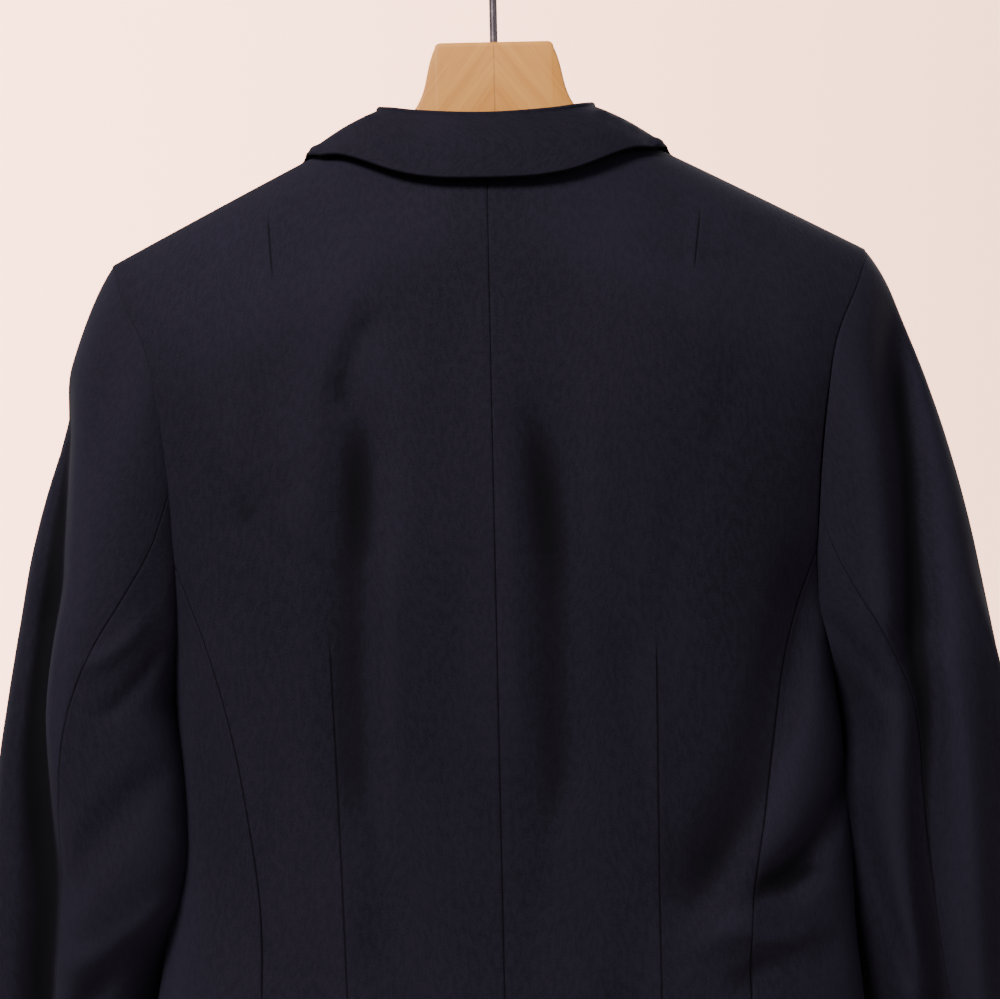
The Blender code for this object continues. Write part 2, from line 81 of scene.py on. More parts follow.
# The cloth as sewn
CLOTH = 0.0013
SEAM_GAP = -0.0003
SEAM_ROLL = 0.0012
EDGE_ROLL = 0.0010
PITCH = 0.0032
SLEEVE_PITCH = 0.0024
HANG_SHIFT = 0.0050
# How widely the folds' hollows are measured, and how deep a hollow takes the full painted shade
HOLLOW_SPREAD = 36
FULL_PAINTED_SHADE_DEPTH = 0.0036
# How strongly shade is painted into the colour along the seams' turned-in edges
SEAM_PAINTED_SHADE = 6.5
SEAM_STEPS = np.array([0, 0.0002, 0.0006, 0.0011, 0.0018])

# The words for a side, the wearer's left (1) or right (-1), and for a face, behind (1) or before (-1)
SIDES = {1: "left", -1: "right"}
FACES = {1: "back", -1: "front"}


def table(columns, *rows):
    """Rows of millimetres under named columns, as metres."""
    return {name: np.array([row[i] for row in rows]) * 0.001 for i, name in enumerate(columns.split())}


BODY = table(
    "drop half_width back front",
    (95, 236, 50, 48),
    (148, 232, 61, 58),
    (200, 222, 71, 69),
    (250, 205, 77, 78),
    (300, 191, 78, 85),
    (350, 181, 75, 89),
    (400, 173, 71, 88),
    (460, 169, 65, 80),
    (530, 172, 61, 72),
    (600, 183, 66, 74),
    (680, 190, 73, 79),
    (737, 193, 76, 81),
)
ARMHOLE = table(
    "drop back front",
    (188, 199.5, 199.5),
    (207, 191.5, 189.5),
    (236, 177.5, 172),
    (268, 171, 162),
    (300, 167.5, 157),
    (345, 165.5, 158),
)
SIDE_SEAMS = table(
    "drop back front",
    (345, 165.5, 158),
    (390, 148.5, 150),
    (430, 137.5, 147),
    (475, 129, 144),
    (525, 122.5, 142),
    (570, 122, 144),
    (650, 130, 150),
    (737, 141, 158),
)
SLEEVE = table(
    "drop inner outer middle half_depth",
    (390, 174.5, 256.5, -8, 60),
    (425, 174, 262.5, -8, 58),
    (470, 172, 268.5, -9, 56),
    (530, 174.5, 273.5, -12, 53),
    (600, 187, 279, -20, 49),
    (680, 198, 284, -32, 45),
    (780, 205, 288, -46, 41),
)
COLLAR = table(
    "along seam_x seam_turn roll_x roll_y roll_drop edge_x edge_turn",
    (-260, -34, 54, -33, 44, 117, -43, 58.5),
    (0, 0, 62, 0, 50, 119.6, 0, 69.5),
    (260, 34, 54, 33, 44, 117, 43, 58.5),
    (460, 62, 28, 52.5, 24, 111.5, 74, 36),
    (600, 73, 2, 56.5, 2, 109, 92, 17),
    (670, 72.4, -11, 56.7, -8, 112, 95.8, 2),
    (740, 71.3, -24, 57, -18, 117, 99, -13),
    (880, 67.6, -43, 59.5, -42, 136, 111, -32),
    (1000, 63.8, -61, 61, -53.5, 156, 123, -40),
)
# Folds: a path from start to end, its sideways bow, its spread to the wearer's left and right of it, the
# length over which its ends fade, and how deep it is. A ridge has a negative depth.
FOLDS = "start_x start_drop end_x end_drop bow left right fade deep"
BACK_FOLDS = table(
    FOLDS,
    (60, 222, 78, 268, 2, 5, 9, 16, 3.0),
    (74, 262, 66, 345, -3, 12, 14, 60, 3.0),
    (66, 282, 71, 482, 4, 19, 13, 70, 5.8),
    (51, 330, 56, 500, 0, 10, 8, 90, -1.5),
    (-20, 262, -31, 352, 2, 10, 14, 70, 2.2),
    (-24, 280, -27, 470, -3, 13, 17, 70, 5.0),
    (-8, 300, -10, 440, 2, 8, 8, 70, -1.2),
    (-47, 300, -43, 440, 0, 12, 9, 80, -1.2),
    (-160, 352, -92, 522, -8, 15, 12, 50, 7.0),
    (-172, 372, -128, 500, -6, 10, 14, 40, -3.0),
    (-174, 452, -126, 524, -4, 7, 9, 26, 7.0),
    (-150, 520, -98, 545, 4, 9, 9, 26, -3.0),
    (-160, 548, -112, 566, 3, 8, 10, 26, 3.0),
    (-76, 188, -126, 197, 2, 5, 4, 30, 0.9),
    (150, 420, 118, 560, 6, 12, 9, 50, 2.5),
    (140, 470, 112, 590, 4, 8, 12, 60, -2.0),
    (96, 560, 70, 700, 8, 22, 18, 90, 3.0),
    (-60, 560, -86, 700, -6, 20, 24, 90, 3.0),
    (10, 600, 14, 737, 0, 24, 22, 80, 2.0),
    (-152, 510, -136, 524, 0, 5, 7, 12, 4.5),
    (-110, 536, -150, 548, 0, 6, 7, 20, -2.5),
    (112, 250, 128, 330, -3, 8, 10, 40, 1.2),
    (140, 330, 96, 300, 3, 6, 8, 30, 1.0),
    (146, 300, 84, 352, 4, 8, 10, 40, 1.1),
    (-96, 300, -84, 400, 4, 9, 12, 50, 1.5),
    (-122, 252, -104, 330, 3, 7, 10, 40, 1.0),
    (-66, 380, -70, 470, 2, 7, 9, 40, 1.2),
    (62, 478, 70, 560, 0, 9, 12, 50, 2.0),
    (-30, 452, -20, 520, 2, 8, 8, 30, 1.2),
    (104, 420, 98, 520, 2, 8, 10, 50, 1.2),
)
# How much further out than an even tube each side of the body hangs
BODY_LEAN = table(
    "drop left right",
    (370, 0, 0),
    (400, 0, 3),
    (441, 0, 11),
    (500, 1, 15),
    (560, 4, 11),
    (620, 3, 6),
    (737, 0, 0),
)
FRONT_FOLDS = table(
    FOLDS,
    (128, 250, 104, 372, 6, 14, 10, 50, 4.0),
    (150, 318, 88, 470, -8, 12, 14, 60, 4.5),
    (120, 430, 40, 500, -4, 8, 9, 34, 3.0),
    (132, 486, 44, 512, 3, 7, 8, 30, 2.4),
    (110, 560, 84, 720, 8, 20, 16, 80, 3.5),
    (-132, 256, -100, 380, -5, 12, 14, 50, 3.6),
    (-152, 330, -92, 462, 8, 14, 11, 60, 4.2),
    (-116, 426, -36, 498, 4, 9, 8, 34, 3.2),
    (-140, 494, -50, 514, -3, 8, 7, 30, 2.2),
    (-98, 556, -112, 716, -7, 18, 20, 80, 3.2),
)
# Folds of the sleeves: their first column is the way round the arm from its outer side by the back
LEFT_SLEEVE_FOLDS = table(
    FOLDS,
    (10, 262, 40, 355, 0, 7, 15, 46, 20),
    (40, 355, 60, 500, -1, 8, 20, 46, 25),
    (60, 500, 62, 770, 2, 8, 22, 46, 22),
    (98, 374, 76, 398, 3, 6, 6, 18, -2.2),
    (112, 392, 88, 424, 3, 5, 6, 20, 2.0),
    (112, 452, 70, 520, -5, 9, 10, 40, 3.5),
    (98, 560, 44, 604, 4, 7, 9, 26, 4.0),
    (118, 520, 70, 556, 3, 8, 8, 26, -2.6),
    (120, 600, 60, 640, 5, 9, 10, 30, 3.4),
    (-60, 480, -96, 560, 4, 10, 10, 40, 4.0),
    (-50, 560, -100, 610, -4, 9, 10, 34, 4.0),
    (-20, 640, -40, 770, 4, 14, 12, 60, 2.6),
)
RIGHT_SLEEVE_FOLDS = table(
    FOLDS,
    (12, 200, 40, 300, 0, 9, 13, 40, 22),
    (40, 300, 74, 396, 0, 10, 14, 40, 23),
    (74, 396, 84, 760, 2, 14, 10, 40, 17),
    (60, 430, 60, 720, 0, 5, 6, 120, -3.5),
    (118, 380, 96, 424, -3, 6, 6, 20, 2.0),
    (122, 470, 96, 580, 5, 8, 10, 46, 4.0),
    (108, 586, 60, 622, -4, 8, 9, 26, 3.6),
    (30, 380, 30, 560, -2, 9, 8, 90, -4.0),
    (14, 380, 8, 560, 2, 8, 9, 80, 4.0),
    (20, 500, 10, 530, 1, 4, 4, 14, 1.6),
    (-58, 470, -94, 548, -4, 10, 10, 40, 4.0),
    (-52, 556, -98, 602, 4, 9, 10, 34, 4.0),
    (-24, 640, -36, 770, -4, 14, 12, 60, 2.6),
)
# Painted shade for the sleeves' parts that hang in the shade of the others, in the same form, with the depth as how
# much darker their colour is painted
LEFT_SLEEVE_PAINTED_SHADE = table(
    FOLDS,
    (24, 320, 38, 420, 0, 14, 16, 60, 2.2),
    (38, 420, 42, 780, 0, 18, 20, 60, 2.6),
)
RIGHT_SLEEVE_PAINTED_SHADE = table(
    FOLDS,
    (20, 330, 26, 420, 0, 12, 14, 60, 2.0),
    (26, 420, 26, 780, 0, 12, 18, 60, 1.2),
)
# Where the sleeves' seams lie round the arm, in the same measure
SLEEVE_SEAMS = table(
    "drop hind_left hind_right fore",
    (180, 83, 92, -96),
    (320, 83, 92, -96),
    (345, 86, 94, -96),
    (372, 83, 92, -98),
    (400, 76, 87, -100),
    (430, 70, 82, -100),
    (500, 68, 78, -102),
    (620, 70, 74, -102),
    (780, 74, 74, -102),
)
# How far each hanging sleeve's outer side and its inner side towards the back depart from an even tube
SLEEVE_LEAN = table(
    "drop out_left in_left out_right in_right",
    (180, 0, 0, 0, 0),
    (250, -1, 0, 1, 0),
    (330, -2.5, 0, 4, 0),
    (355, -2, -1, 4.5, 0),
    (404, -1, -5.5, 7, 0),
    (442, 0, -10, 8, 9),
    (471, 0, -12, 8, 7),
    (500, 0, -13, 7, 9),
    (520, 0, -10, 6, 11),
    (550, 0, -2, 4, 13),
    (580, 0, 0, 2, 12),
    (640, 0, 0, 0, 6),
    (780, 0, 0, 0, 0),
)
ARM_RADIUS = 0.047
CAP_WIDTH = {1: 0.083, -1: 0.090}
# The cap's seams take the places of the drops from this share of its fall on
CAP_SEAM_START, CAP_SEAM_RUN = 0.55, 0.45
# Where the sleeves lean, in degrees round the arm, and how far round it that fades, in radians
LEAN_ANGLE, LEAN_SPREAD = 150, 0.70
# How deep, where round the arm and between which drops they rest against the body's front
REST_DEEP, REST_ANGLE, REST_SPREAD = 0.012, 228, 0.50
REST_START, REST_END = 0.36, 0.60
# The way that a sleeve's folds sink, as shares of the way to the arm's middle
FOLD_WAY = np.array([0.35, 1, 0])
# The darts sewn into each side's back, from x and z to x and z
DARTS = {
    1: ((0.1125, -0.168, 0.1085, -0.207), (0.0840, -0.388, 0.0775, -0.640)),
    -1: ((-0.1085, -0.170, -0.1025, -0.207), (-0.0800, -0.390, -0.0790, -0.640)),
}


def smooth(rows, column, at):
    """The column's value where the table's first column has the value at, on a smooth curve."""
    keys, values = next(iter(rows.values())), rows[column]
    slopes = np.gradient(values, keys)
    at = np.clip(at, keys[0], keys[-1])
    i = np.clip(np.searchsorted(keys, at) - 1, 0, len(keys) - 2)
    span = keys[i + 1] - keys[i]
    t = (at - keys[i]) / span
    start = (1 + 2 * t) * (1 - t) ** 2 * values[i] + t * (1 - t) ** 2 * span * slopes[i]
    return start + t * t * (3 - 2 * t) * values[i + 1] - t * t * (1 - t) * span * slopes[i + 1]


def ease(t):
    """A soft step from 0 to 1."""
    t = np.clip(t, 0, 1)
    return t * t * (3 - 2 * t)


def unit(ways):
    """The directions with a length of 1."""
    return ways / np.maximum(np.linalg.norm(ways, axis=-1, keepdims=True), 1e-12)


def hermite(start, start_way, end, end_way, t):
    """A point on the curve that leaves start and reaches end along the given ways."""
    at_start = (1 + 2 * t) * (1 - t) ** 2 * start + t * (1 - t) ** 2 * start_way
    return at_start + t * t * (3 - 2 * t) * end - t * t * (1 - t) * end_way


def folds(rows, x, drop):
    """How deep a table's folds are at a place."""
    deep = np.zeros(np.broadcast(x, drop).shape)
    for start_x, start_drop, end_x, end_drop, bow, left, right, fade, full in zip(*rows.values()):
        way_x, way_drop = end_x - start_x, end_drop - start_drop
        length = math.hypot(way_x, way_drop)
        along = ((x - start_x) * way_x + (drop - start_drop) * way_drop) / length
        aside = ((x - start_x) * way_drop - (drop - start_drop) * way_x) / length
        t = np.clip(along / length, 0, 1)
        aside = aside - 4 * bow * t * (1 - t)
        ends = ease(along / fade + 0.5) * ease((length - along) / fade + 0.5)
        deep = deep + full * ends * np.exp(-((aside / np.where(aside > 0, left, right)) ** 2))
    return deep


# The body's form

def ridge(x):
    """The drop of the shoulder line."""
    reach = math.hypot(SHOULDER_HALF, NECK_ROUND) - np.hypot(x, NECK_ROUND)
    return TIP_DROP - SHOULDER_SLOPE * reach


def section_depth(x, drop, face):
    """Depth of the body at x before it rounds over the shoulder: behind (face 1) or before (face -1)."""
    across = np.minimum(np.abs(x) / smooth(BODY, "half_width", drop), 1)
    full = smooth(BODY, FACES[face], drop)
    return full * (1 - across ** SQUARENESS) ** (1 / SQUARENESS)


def body_depth(x, drop, face):
    """The Y of the cloth's outer face, with its folds."""
    over = np.clip((drop - ridge(x)) / SHOULDER_ROLL, 0, 1)
    depth = section_depth(x, drop, face) * np.sqrt(1 - (1 - over) ** 2)
    return face * (depth - folds(BACK_FOLDS if face > 0 else FRONT_FOLDS, x, drop) * ease(over * 3))


def leaned(x, drop, side):
    """The x of a place with the outward lean of its side of the body."""
    lean = smooth(BODY_LEAN, SIDES[side], drop)
    return x + lean * np.clip(x / smooth(BODY, "half_width", drop), 0, 1) ** 3


def front_depth(x, drop, side):
    """The Y of a front's outer face: the wearer's right front laps over the left."""
    lift = LAP_LIFT * ease((0.050 - x) / 0.035) if side < 0 else 0
    return body_depth(side * x, drop, -1) - lift


def neck_drop(x):
    """The drop of the back's top edge: the neck seam, and then the shoulder line."""
    dip = NAPE_DROP + (ridge(NECK_HALF) - NAPE_DROP) * (np.minimum(x / NECK_HALF, 1)) ** 2.2
    return np.where(x < NECK_HALF, dip, ridge(x))


def roll_x(drop):
    """Where the front edge runs: the roll line down to the break, and then past the centre front."""
    t = (drop - ridge(NECK_HALF)) / (BREAK_DROP - ridge(NECK_HALF))
    edge = NECK_HALF + (-OVERLAP - NECK_HALF) * np.clip(t, 0, 1)
    low = np.clip((drop - HEM_CURVE_DROP) / (HEM_DROP - HEM_CURVE_DROP), 0, 1)
    return edge + HEM_CURVE * (1 - np.sqrt(1 - low ** 2.6))


def steps(length, pitch=PITCH):
    """Fractions of a length a pitch apart, closer at both ends where a seam turns in."""
    near = SEAM_STEPS / length
    start = near[-1] + pitch / 2 / length
    middle = np.linspace(start, 1 - start, max(3, round((1 - 2 * start) * length / pitch)))
    return np.concatenate([near, middle, 1 - near[::-1]])


def upper_steps():
    """Fractions from the shoulder down to the join, which start slowly because the cloth rounds over there."""
    t = steps(0.165)
    return t * t * (2 - t) * 0.965 + 0.035 * t


def lower_drops():
    """The drops of the rows from the join to the hem."""
    return JOIN_DROP + (HEM_DROP - JOIN_DROP) * steps(HEM_DROP - JOIN_DROP)[4:]


# The body's panels, each as a grid of points on the wearer's left: rows go down, columns go outwards

def panel_grid(side, face):
    """The back or the front panel, from the centre to the armhole and the side seam."""
    column = FACES[face]
    across = steps(0.170)
    top_x = across * SHOULDER_HALF if face > 0 else NECK_HALF + (SHOULDER_HALF - NECK_HALF) * across
    top = neck_drop(top_x) if face > 0 else ridge(top_x)
    drops = [top + (JOIN_DROP - top) * step for step in upper_steps()]
    upper = len(drops)
    drops += [np.full_like(across, drop) for drop in lower_drops()[1:]]
    points = []
    for k, drop in enumerate(drops):
        outer = smooth(ARMHOLE if k < upper else SIDE_SEAMS, column, drop[-1]) - SEAM_GAP
        inner = SEAM_GAP if face > 0 else roll_x(drop[0])
        x = inner + (outer - inner) * across
        y = body_depth(side * x, drop, 1) if face > 0 else front_depth(x, drop, side)
        if k == 0:
            y = np.where(top_x < NECK_HALF, y, face * SEAM_GAP)
        points.append(np.stack([leaned(x, drop, side), y, -drop], axis=1))
    return np.array(points)


def section_angle(x, drop, face):
    """The angle round the body's section, from the centre back, of the place at x."""
    across = np.clip(x / smooth(BODY, "half_width", drop), 0, 1)
    angle = np.arcsin(across ** (SQUARENESS / 2))
    return angle if face > 0 else math.pi - angle


def side_grid(side):
    """The panel under the arm, from the back's side seam to the front's."""
    first = 0.030
    levels = np.concatenate([JOIN_DROP + first * steps(first)[:12], lower_drops()[1:]])
    levels = np.unique(np.round(levels, 6))
    t = steps(0.100)
    level, t = np.meshgrid(levels, t, indexing="ij")
    back = section_angle(smooth(SIDE_SEAMS, "back", level), level, 1)
    front = section_angle(smooth(SIDE_SEAMS, "front", level), level, -1)
    angle = back + (front - back) * t
    sag = (UNDERARM_DROP - JOIN_DROP) * (1 - (2 * t - 1) ** 4)
    drop = level + sag * np.clip(1 - (level - JOIN_DROP) / (LEVEL_DROP - JOIN_DROP), 0, 1)
    x = smooth(BODY, "half_width", drop) * np.sin(angle) ** (2 / SQUARENESS)
    face = np.where(np.cos(angle) >= 0, 1, -1)
    full = np.where(face > 0, smooth(BODY, "back", drop), smooth(BODY, "front", drop))
    y = face * full * np.abs(np.cos(angle)) ** (2 / SQUARENESS)
    fade = 0.020
    behind = folds(BACK_FOLDS, side * x, drop) * ease(y / fade)
    y = y - behind + folds(FRONT_FOLDS, side * x, drop) * ease(-y / fade)
    return np.stack([leaned(x, drop, side), y, -drop], axis=2)


def grid_ways(grid):
    """The directions square to a grid of points whose rows go down and columns go round by the left."""
    return unit(np.cross(np.gradient(grid, axis=1), np.gradient(grid, axis=0)))


LAPEL_FOOT = 0.014
LAPEL_LIFT, LAPEL_CROWN = 0.0026, 0.0014


def lapel_grid(side):
    """The lapel, which rolls over the front's edge and lies on it."""
    start = BREAK_DROP - LAPEL_FOOT
    first = np.array([OVERLAP + 0.001 if side > 0 else roll_x(start) + 0.004, start])
    belly, tip, bend = np.array(LAPEL_BELLY), np.array(LAPEL_TIP), np.array(NOTCH) + np.array([0, 0.0008])
    rows, columns = steps(0.330, 0.0040), steps(0.060, 0.0030)
    points = []
    for t in rows:
        inner_drop = start + (GORGE[1] - start) * t
        inner = np.array([roll_x(inner_drop) + 0.0006, inner_drop])
        if side > 0:
            inner[0] = max(inner[0], LAP_CLEAR - roll_x(inner_drop))
        outer = (1 - t) ** 2 * first + 2 * t * (1 - t) * belly + t * t * tip
        w = columns[:, None]
        straight = inner + (outer - inner) * w
        bent = np.where(w <= 0.5, inner + (bend - inner) * w / 0.5, bend + (outer - bend) * (w - 0.5) / 0.5)
        flat = straight + (bent - straight) * ease((t - 0.90) / 0.10)
        x, drop = flat[:, 0], flat[:, 1]
        y = front_depth(x, drop, side)
        lift = LAPEL_LIFT + LAPEL_CROWN * np.sin(math.pi * columns) * ease(t * 3)
        points.append(np.stack([x, y - lift, -drop], axis=1))
    return np.array(points)


# The collar

COLLAR_ROLL = 0.0024
LEAF_LIFT = 0.0055
LEAF_START = 11
LEAF_CLEAR = 0.0022
SHOULDER_WAY = np.array([0.46, 0, 0.88])


def shoulder_point(x, turn, clear):
    """A place on the shoulder, turned back (+) or forward (-) from its line, and moved out by clear."""
    face = 1 if turn >= 0 else -1
    drop = ridge(x) + SHOULDER_ROLL * (1 - math.cos(turn))
    y = section_depth(x, drop, face) * math.sin(turn)
    out = np.array([0.25, math.sin(turn), 0.9 * math.cos(turn)])
    return np.array([x, y, -drop]) + clear * out / np.linalg.norm(out)


def clear_of_body(point, clear):
    """The point, moved straight out where it lies closer to the body than clear."""
    for _ in range(3):
        x, drop = point[0], -point[2]
        face = 1 if point[1] >= 0 else -1
        below = drop - ridge(x)
        if below <= 0:
            room, way = -SHOULDER_WAY[2] * below, SHOULDER_WAY
        else:
            step = 5e-5
            low = max(drop, ridge(x) + step)
            by_x = (body_depth(x + step, low, face) - body_depth(x - step, low, face)) / (2 * step)
            by_drop = (body_depth(x, low + step, face) - body_depth(x, low - step, face)) / (2 * step)
            way = unit(np.array([-face * by_x, face, face * by_drop]))
            room = (abs(point[1]) - abs(body_depth(x, drop, face))) * abs(way[1])
        if room >= clear:
            break
        point = point + way * (clear - room)
    return point


def collar_half():
    """Half of the collar, from the centre back to its front end: its stand, its roll and its leaf."""
    columns = []
    for s in np.linspace(0, 1, 25):
        place = {name: float(smooth(COLLAR, name, s)) for name in COLLAR}
        roll = np.array([place["roll_x"], place["roll_y"], -place["roll_drop"]])
        seam = shoulder_point(place["seam_x"], math.radians(place["seam_turn"] * 1000), -0.001)
        seam = seam - unit(roll - seam) * 0.0014
        lift = LEAF_LIFT * (1 - ease((s - 0.35) / 0.4))
        edge = shoulder_point(place["edge_x"], math.radians(place["edge_turn"] * 1000), 0.002 + lift)
        out = unit((edge - seam) * np.array([1, 1, 0]))
        centre = roll - np.array([0, 0, COLLAR_ROLL])
        inside, outside = centre - out * COLLAR_ROLL, centre + out * COLLAR_ROLL
        column = [seam, seam * 0.6 + inside * 0.4, seam * 0.25 + inside * 0.75]
        for a in np.radians([180, 145, 112, 90, 68, 35, 0]):
            column.append(centre + COLLAR_ROLL * (out * math.cos(a) + np.array([0, 0, 1]) * math.sin(a)))
        end = ease((s - 0.80) / 0.20)
        for w in (0.12, 0.28, 0.46, 0.64, 0.82, 0.94, 1):
            bow = np.array([0.006, -0.001, -0.027]) * end * 4 * w * (1 - w)
            bow = bow + (out * 0.0018 + np.array([0, 0, 0.0020])) * math.sin(math.pi * w)
            column.append(outside + (edge - outside) * w + bow)
        columns.append(column)
    return np.array(columns)


def refine(grid, times, axis):
    """The grid with more points along an axis, on smooth curves through the given ones."""
    grid = np.moveaxis(grid, axis, 0)
    count = grid.shape[0]
    slopes = np.gradient(grid, axis=0)
    at = np.linspace(0, count - 1, (count - 1) * times + 1)
    i = np.minimum(at.astype(int), count - 2)
    t = (at - i).reshape((-1,) + (1,) * (grid.ndim - 1))
    return np.moveaxis(hermite(grid[i], slopes[i], grid[i + 1], slopes[i + 1], t), 0, axis)


def collar_grid():
    """The whole collar, its leaf kept clear of the body."""
    half = collar_half()
    for i, j in np.ndindex(half.shape[:2]):
        if j >= LEAF_START:
            half[i, j] = clear_of_body(half[i, j], LEAF_CLEAR)
    whole = np.concatenate([half[:0:-1] * np.array([-1, 1, 1]), half]).transpose(1, 0, 2)
    return refine(refine(whole, 3, 1), 4, 0)


# The sleeves

def armhole_loop(side):
    """The armhole's edge, from the shoulder tip down the back, under the arm and up the front."""
    fall = np.linspace(0, 1, 60) ** 2
    drop = ridge(SHOULDER_HALF) + (JOIN_DROP - ridge(SHOULDER_HALF)) * fall
    back_x, front_x = smooth(ARMHOLE, "back", drop), smooth(ARMHOLE, "front", drop)
    back = np.stack([back_x, body_depth(side * back_x, drop, 1), -drop], axis=1)
    front = np.stack([front_x, body_depth(side * front_x, drop, -1), -drop], axis=1)
    back[0, 1] = 0
    return np.concatenate([back, side_grid(side)[0][1:-1], front[:0:-1]])


def sleeve_ring(drop, angle):
    """A place round the hanging sleeve: angle 0 is its outer side and a quarter turn is its back."""
    inner, outer = smooth(SLEEVE, "inner", drop), smooth(SLEEVE, "outer", drop)
    middle, half_depth = smooth(SLEEVE, "middle", drop), smooth(SLEEVE, "half_depth", drop)
    x = (inner + outer) / 2 + (outer - inner) / 2 * np.cos(angle)
    return np.stack([x, middle + half_depth * np.sin(angle), -drop + 0 * angle], axis=-1)


def around(angle, degrees, spread):
    """1 at a place given in degrees round the sleeve, and less the further an angle is from it."""
    aside = np.mod(angle - math.radians(degrees) + math.pi, 2 * math.pi) - math.pi
    return np.exp(-((aside / spread) ** 2))


def sleeve_rows():
    """How far down the rows are: up to 1 in the cap, and beyond it by their drop."""
    cap = steps(0.240, SLEEVE_PITCH)[:-5]
    cap = cap / cap[-1]
    tube = steps(CUFF_DROP - SLEEVE_RING_DROP, SLEEVE_PITCH)[5:]
    return cap, SLEEVE_RING_DROP + (CUFF_DROP - SLEEVE_RING_DROP) * tube


def sleeve_grid(side, outer_piece):
    """One piece of a sleeve, between its seams, in rows from the armhole to the cuff, and the shade painted on its
    parts that hang in the shade of the others.
    """
    word = SIDES[side]
    loop = armhole_loop(side)
    lengths = np.linalg.norm(np.roll(loop, -1, axis=0) - loop, axis=1)
    at = 2 * math.pi * np.concatenate([[0], np.cumsum(lengths)]) / lengths.sum()
    loop = np.concatenate([loop, loop[:1]])
    cap, tube = sleeve_rows()
    across = steps(0.170 if outer_piece else 0.120, SLEEVE_PITCH)

    def angles(drop):
        start = smooth(SLEEVE_SEAMS, "hind_" + word, drop) / ARM_RADIUS
        end = smooth(SLEEVE_SEAMS, "fore", drop) / ARM_RADIUS
        gap = -SEAM_GAP / ARM_RADIUS
        if not outer_piece:
            end, gap = end + 2 * math.pi, -gap
        return (start + gap) + (end - start - 2 * gap) * across

    tip = ridge(SHOULDER_HALF)
    seam_drops = tip + (SLEEVE_RING_DROP - tip) * (CAP_SEAM_START + CAP_SEAM_RUN * cap)
    angle = np.array([angles(drop) for drop in np.concatenate([seam_drops, tube])])
    rows = []
    for t, turn in zip(cap, angle):
        wrapped = np.mod(turn, 2 * math.pi)
        start = np.stack([np.interp(wrapped, at, loop[:, i]) for i in range(3)], axis=1)
        start[:, 0] -= 0.0008
        end = sleeve_ring(np.full_like(turn, SLEEVE_RING_DROP), turn)
        fall = start[:, 2] - end[:, 2]
        outward = 0.5 + 0.5 * np.cos(turn)
        sink = 0.11 * outward + 0.6 * fall * (1 - outward)
        start_way = np.stack([CAP_WIDTH[side] * outward, 0.022 * np.sin(turn), -sink], axis=1)
        end_way = np.stack([0.03 * outward, 0 * fall, -1.05 * fall], axis=1)
        rows.append(hermite(start, start_way, end, end_way, t))
    rows += [sleeve_ring(np.full_like(turn, drop), turn) for drop, turn in zip(tube, angle[len(cap):])]
    grid = np.array(rows)
    drops = -grid[:, :, 2]
    lean_in = smooth(SLEEVE_LEAN, "in_" + word, drops) * around(angle, LEAN_ANGLE, LEAN_SPREAD)
    rest = REST_DEEP * around(angle, REST_ANGLE, REST_SPREAD) * ease((drops - REST_START) / 0.05)
    grid[:, :, 0] += smooth(SLEEVE_LEAN, "out_" + word, drops) * (0.5 + 0.5 * np.cos(angle)) ** 1.5
    grid[:, :, 0] += lean_in - rest * (1 - ease((drops - REST_END) / 0.10))
    grid[:, :, 1] += np.maximum(-0.9 * lean_in, 0)
    inner, outer = smooth(SLEEVE, "inner", drops), smooth(SLEEVE, "outer", drops)
    centre = np.stack([(inner + outer) / 2, smooth(SLEEVE, "middle", drops), -drops], axis=2)
    inward = unit((centre - grid) * FOLD_WAY)
    begun = np.concatenate([cap, np.ones(len(tube))])[:, None]
    place = (np.mod(angle + math.pi, 2 * math.pi) - math.pi) * ARM_RADIUS
    deep = folds(LEFT_SLEEVE_FOLDS if side > 0 else RIGHT_SLEEVE_FOLDS, place, drops) * ease(begun * 3)
    # Painted shade on the sleeve's parts that hang in the shade of the others
    shade = folds(LEFT_SLEEVE_PAINTED_SHADE if side > 0 else RIGHT_SLEEVE_PAINTED_SHADE, place, drops)
    grid = grid + inward * deep[:, :, None]
    return (grid, shade) if outer_piece else (grid[:, ::-1], shade[:, ::-1])


# Making cloth

def runs(grid, axis):
    """How far along its column (axis 0) or its row (axis 1) each point of a grid lies."""
    lengths = np.linalg.norm(np.diff(grid, axis=axis), axis=2)
    return np.insert(np.cumsum(lengths, axis=axis), 0, 0, axis=axis)


def rolled(grid, ways, rolls):
    """The grid with its four edges (top, bottom, first and last column) turned down into their seams."""
    down, over = runs(grid, 0), runs(grid, 1)
    deep = 0
    for away, radius in zip((down, down[-1:] - down, over, over[:, -1:] - over), rolls):
        if radius:
            near = np.clip(1 - away / (1.25 * radius), 0, 1)
            deep = np.maximum(deep, radius * (1 - np.sqrt(1 - near ** 2)))
    return grid - ways * deep[..., None], down, over


def hollows(grid, ways):
    """How far each place lies below its surroundings, which sets how much shade is painted into the folds' colour."""
    spread = grid
    for _ in range(HOLLOW_SPREAD):
        for axis in (0, 1):
            wide = [(0, 0)] * 3
            wide[axis] = (1, 1)
            padded = np.pad(spread, wide, mode="reflect", reflect_type="odd")
            count = padded.shape[axis]
            ahead, behind = np.take(padded, range(2, count), axis), np.take(padded, range(count - 2), axis)
            spread = spread / 2 + (ahead + behind) / 4
    return np.sum((spread - grid) * ways, axis=2)


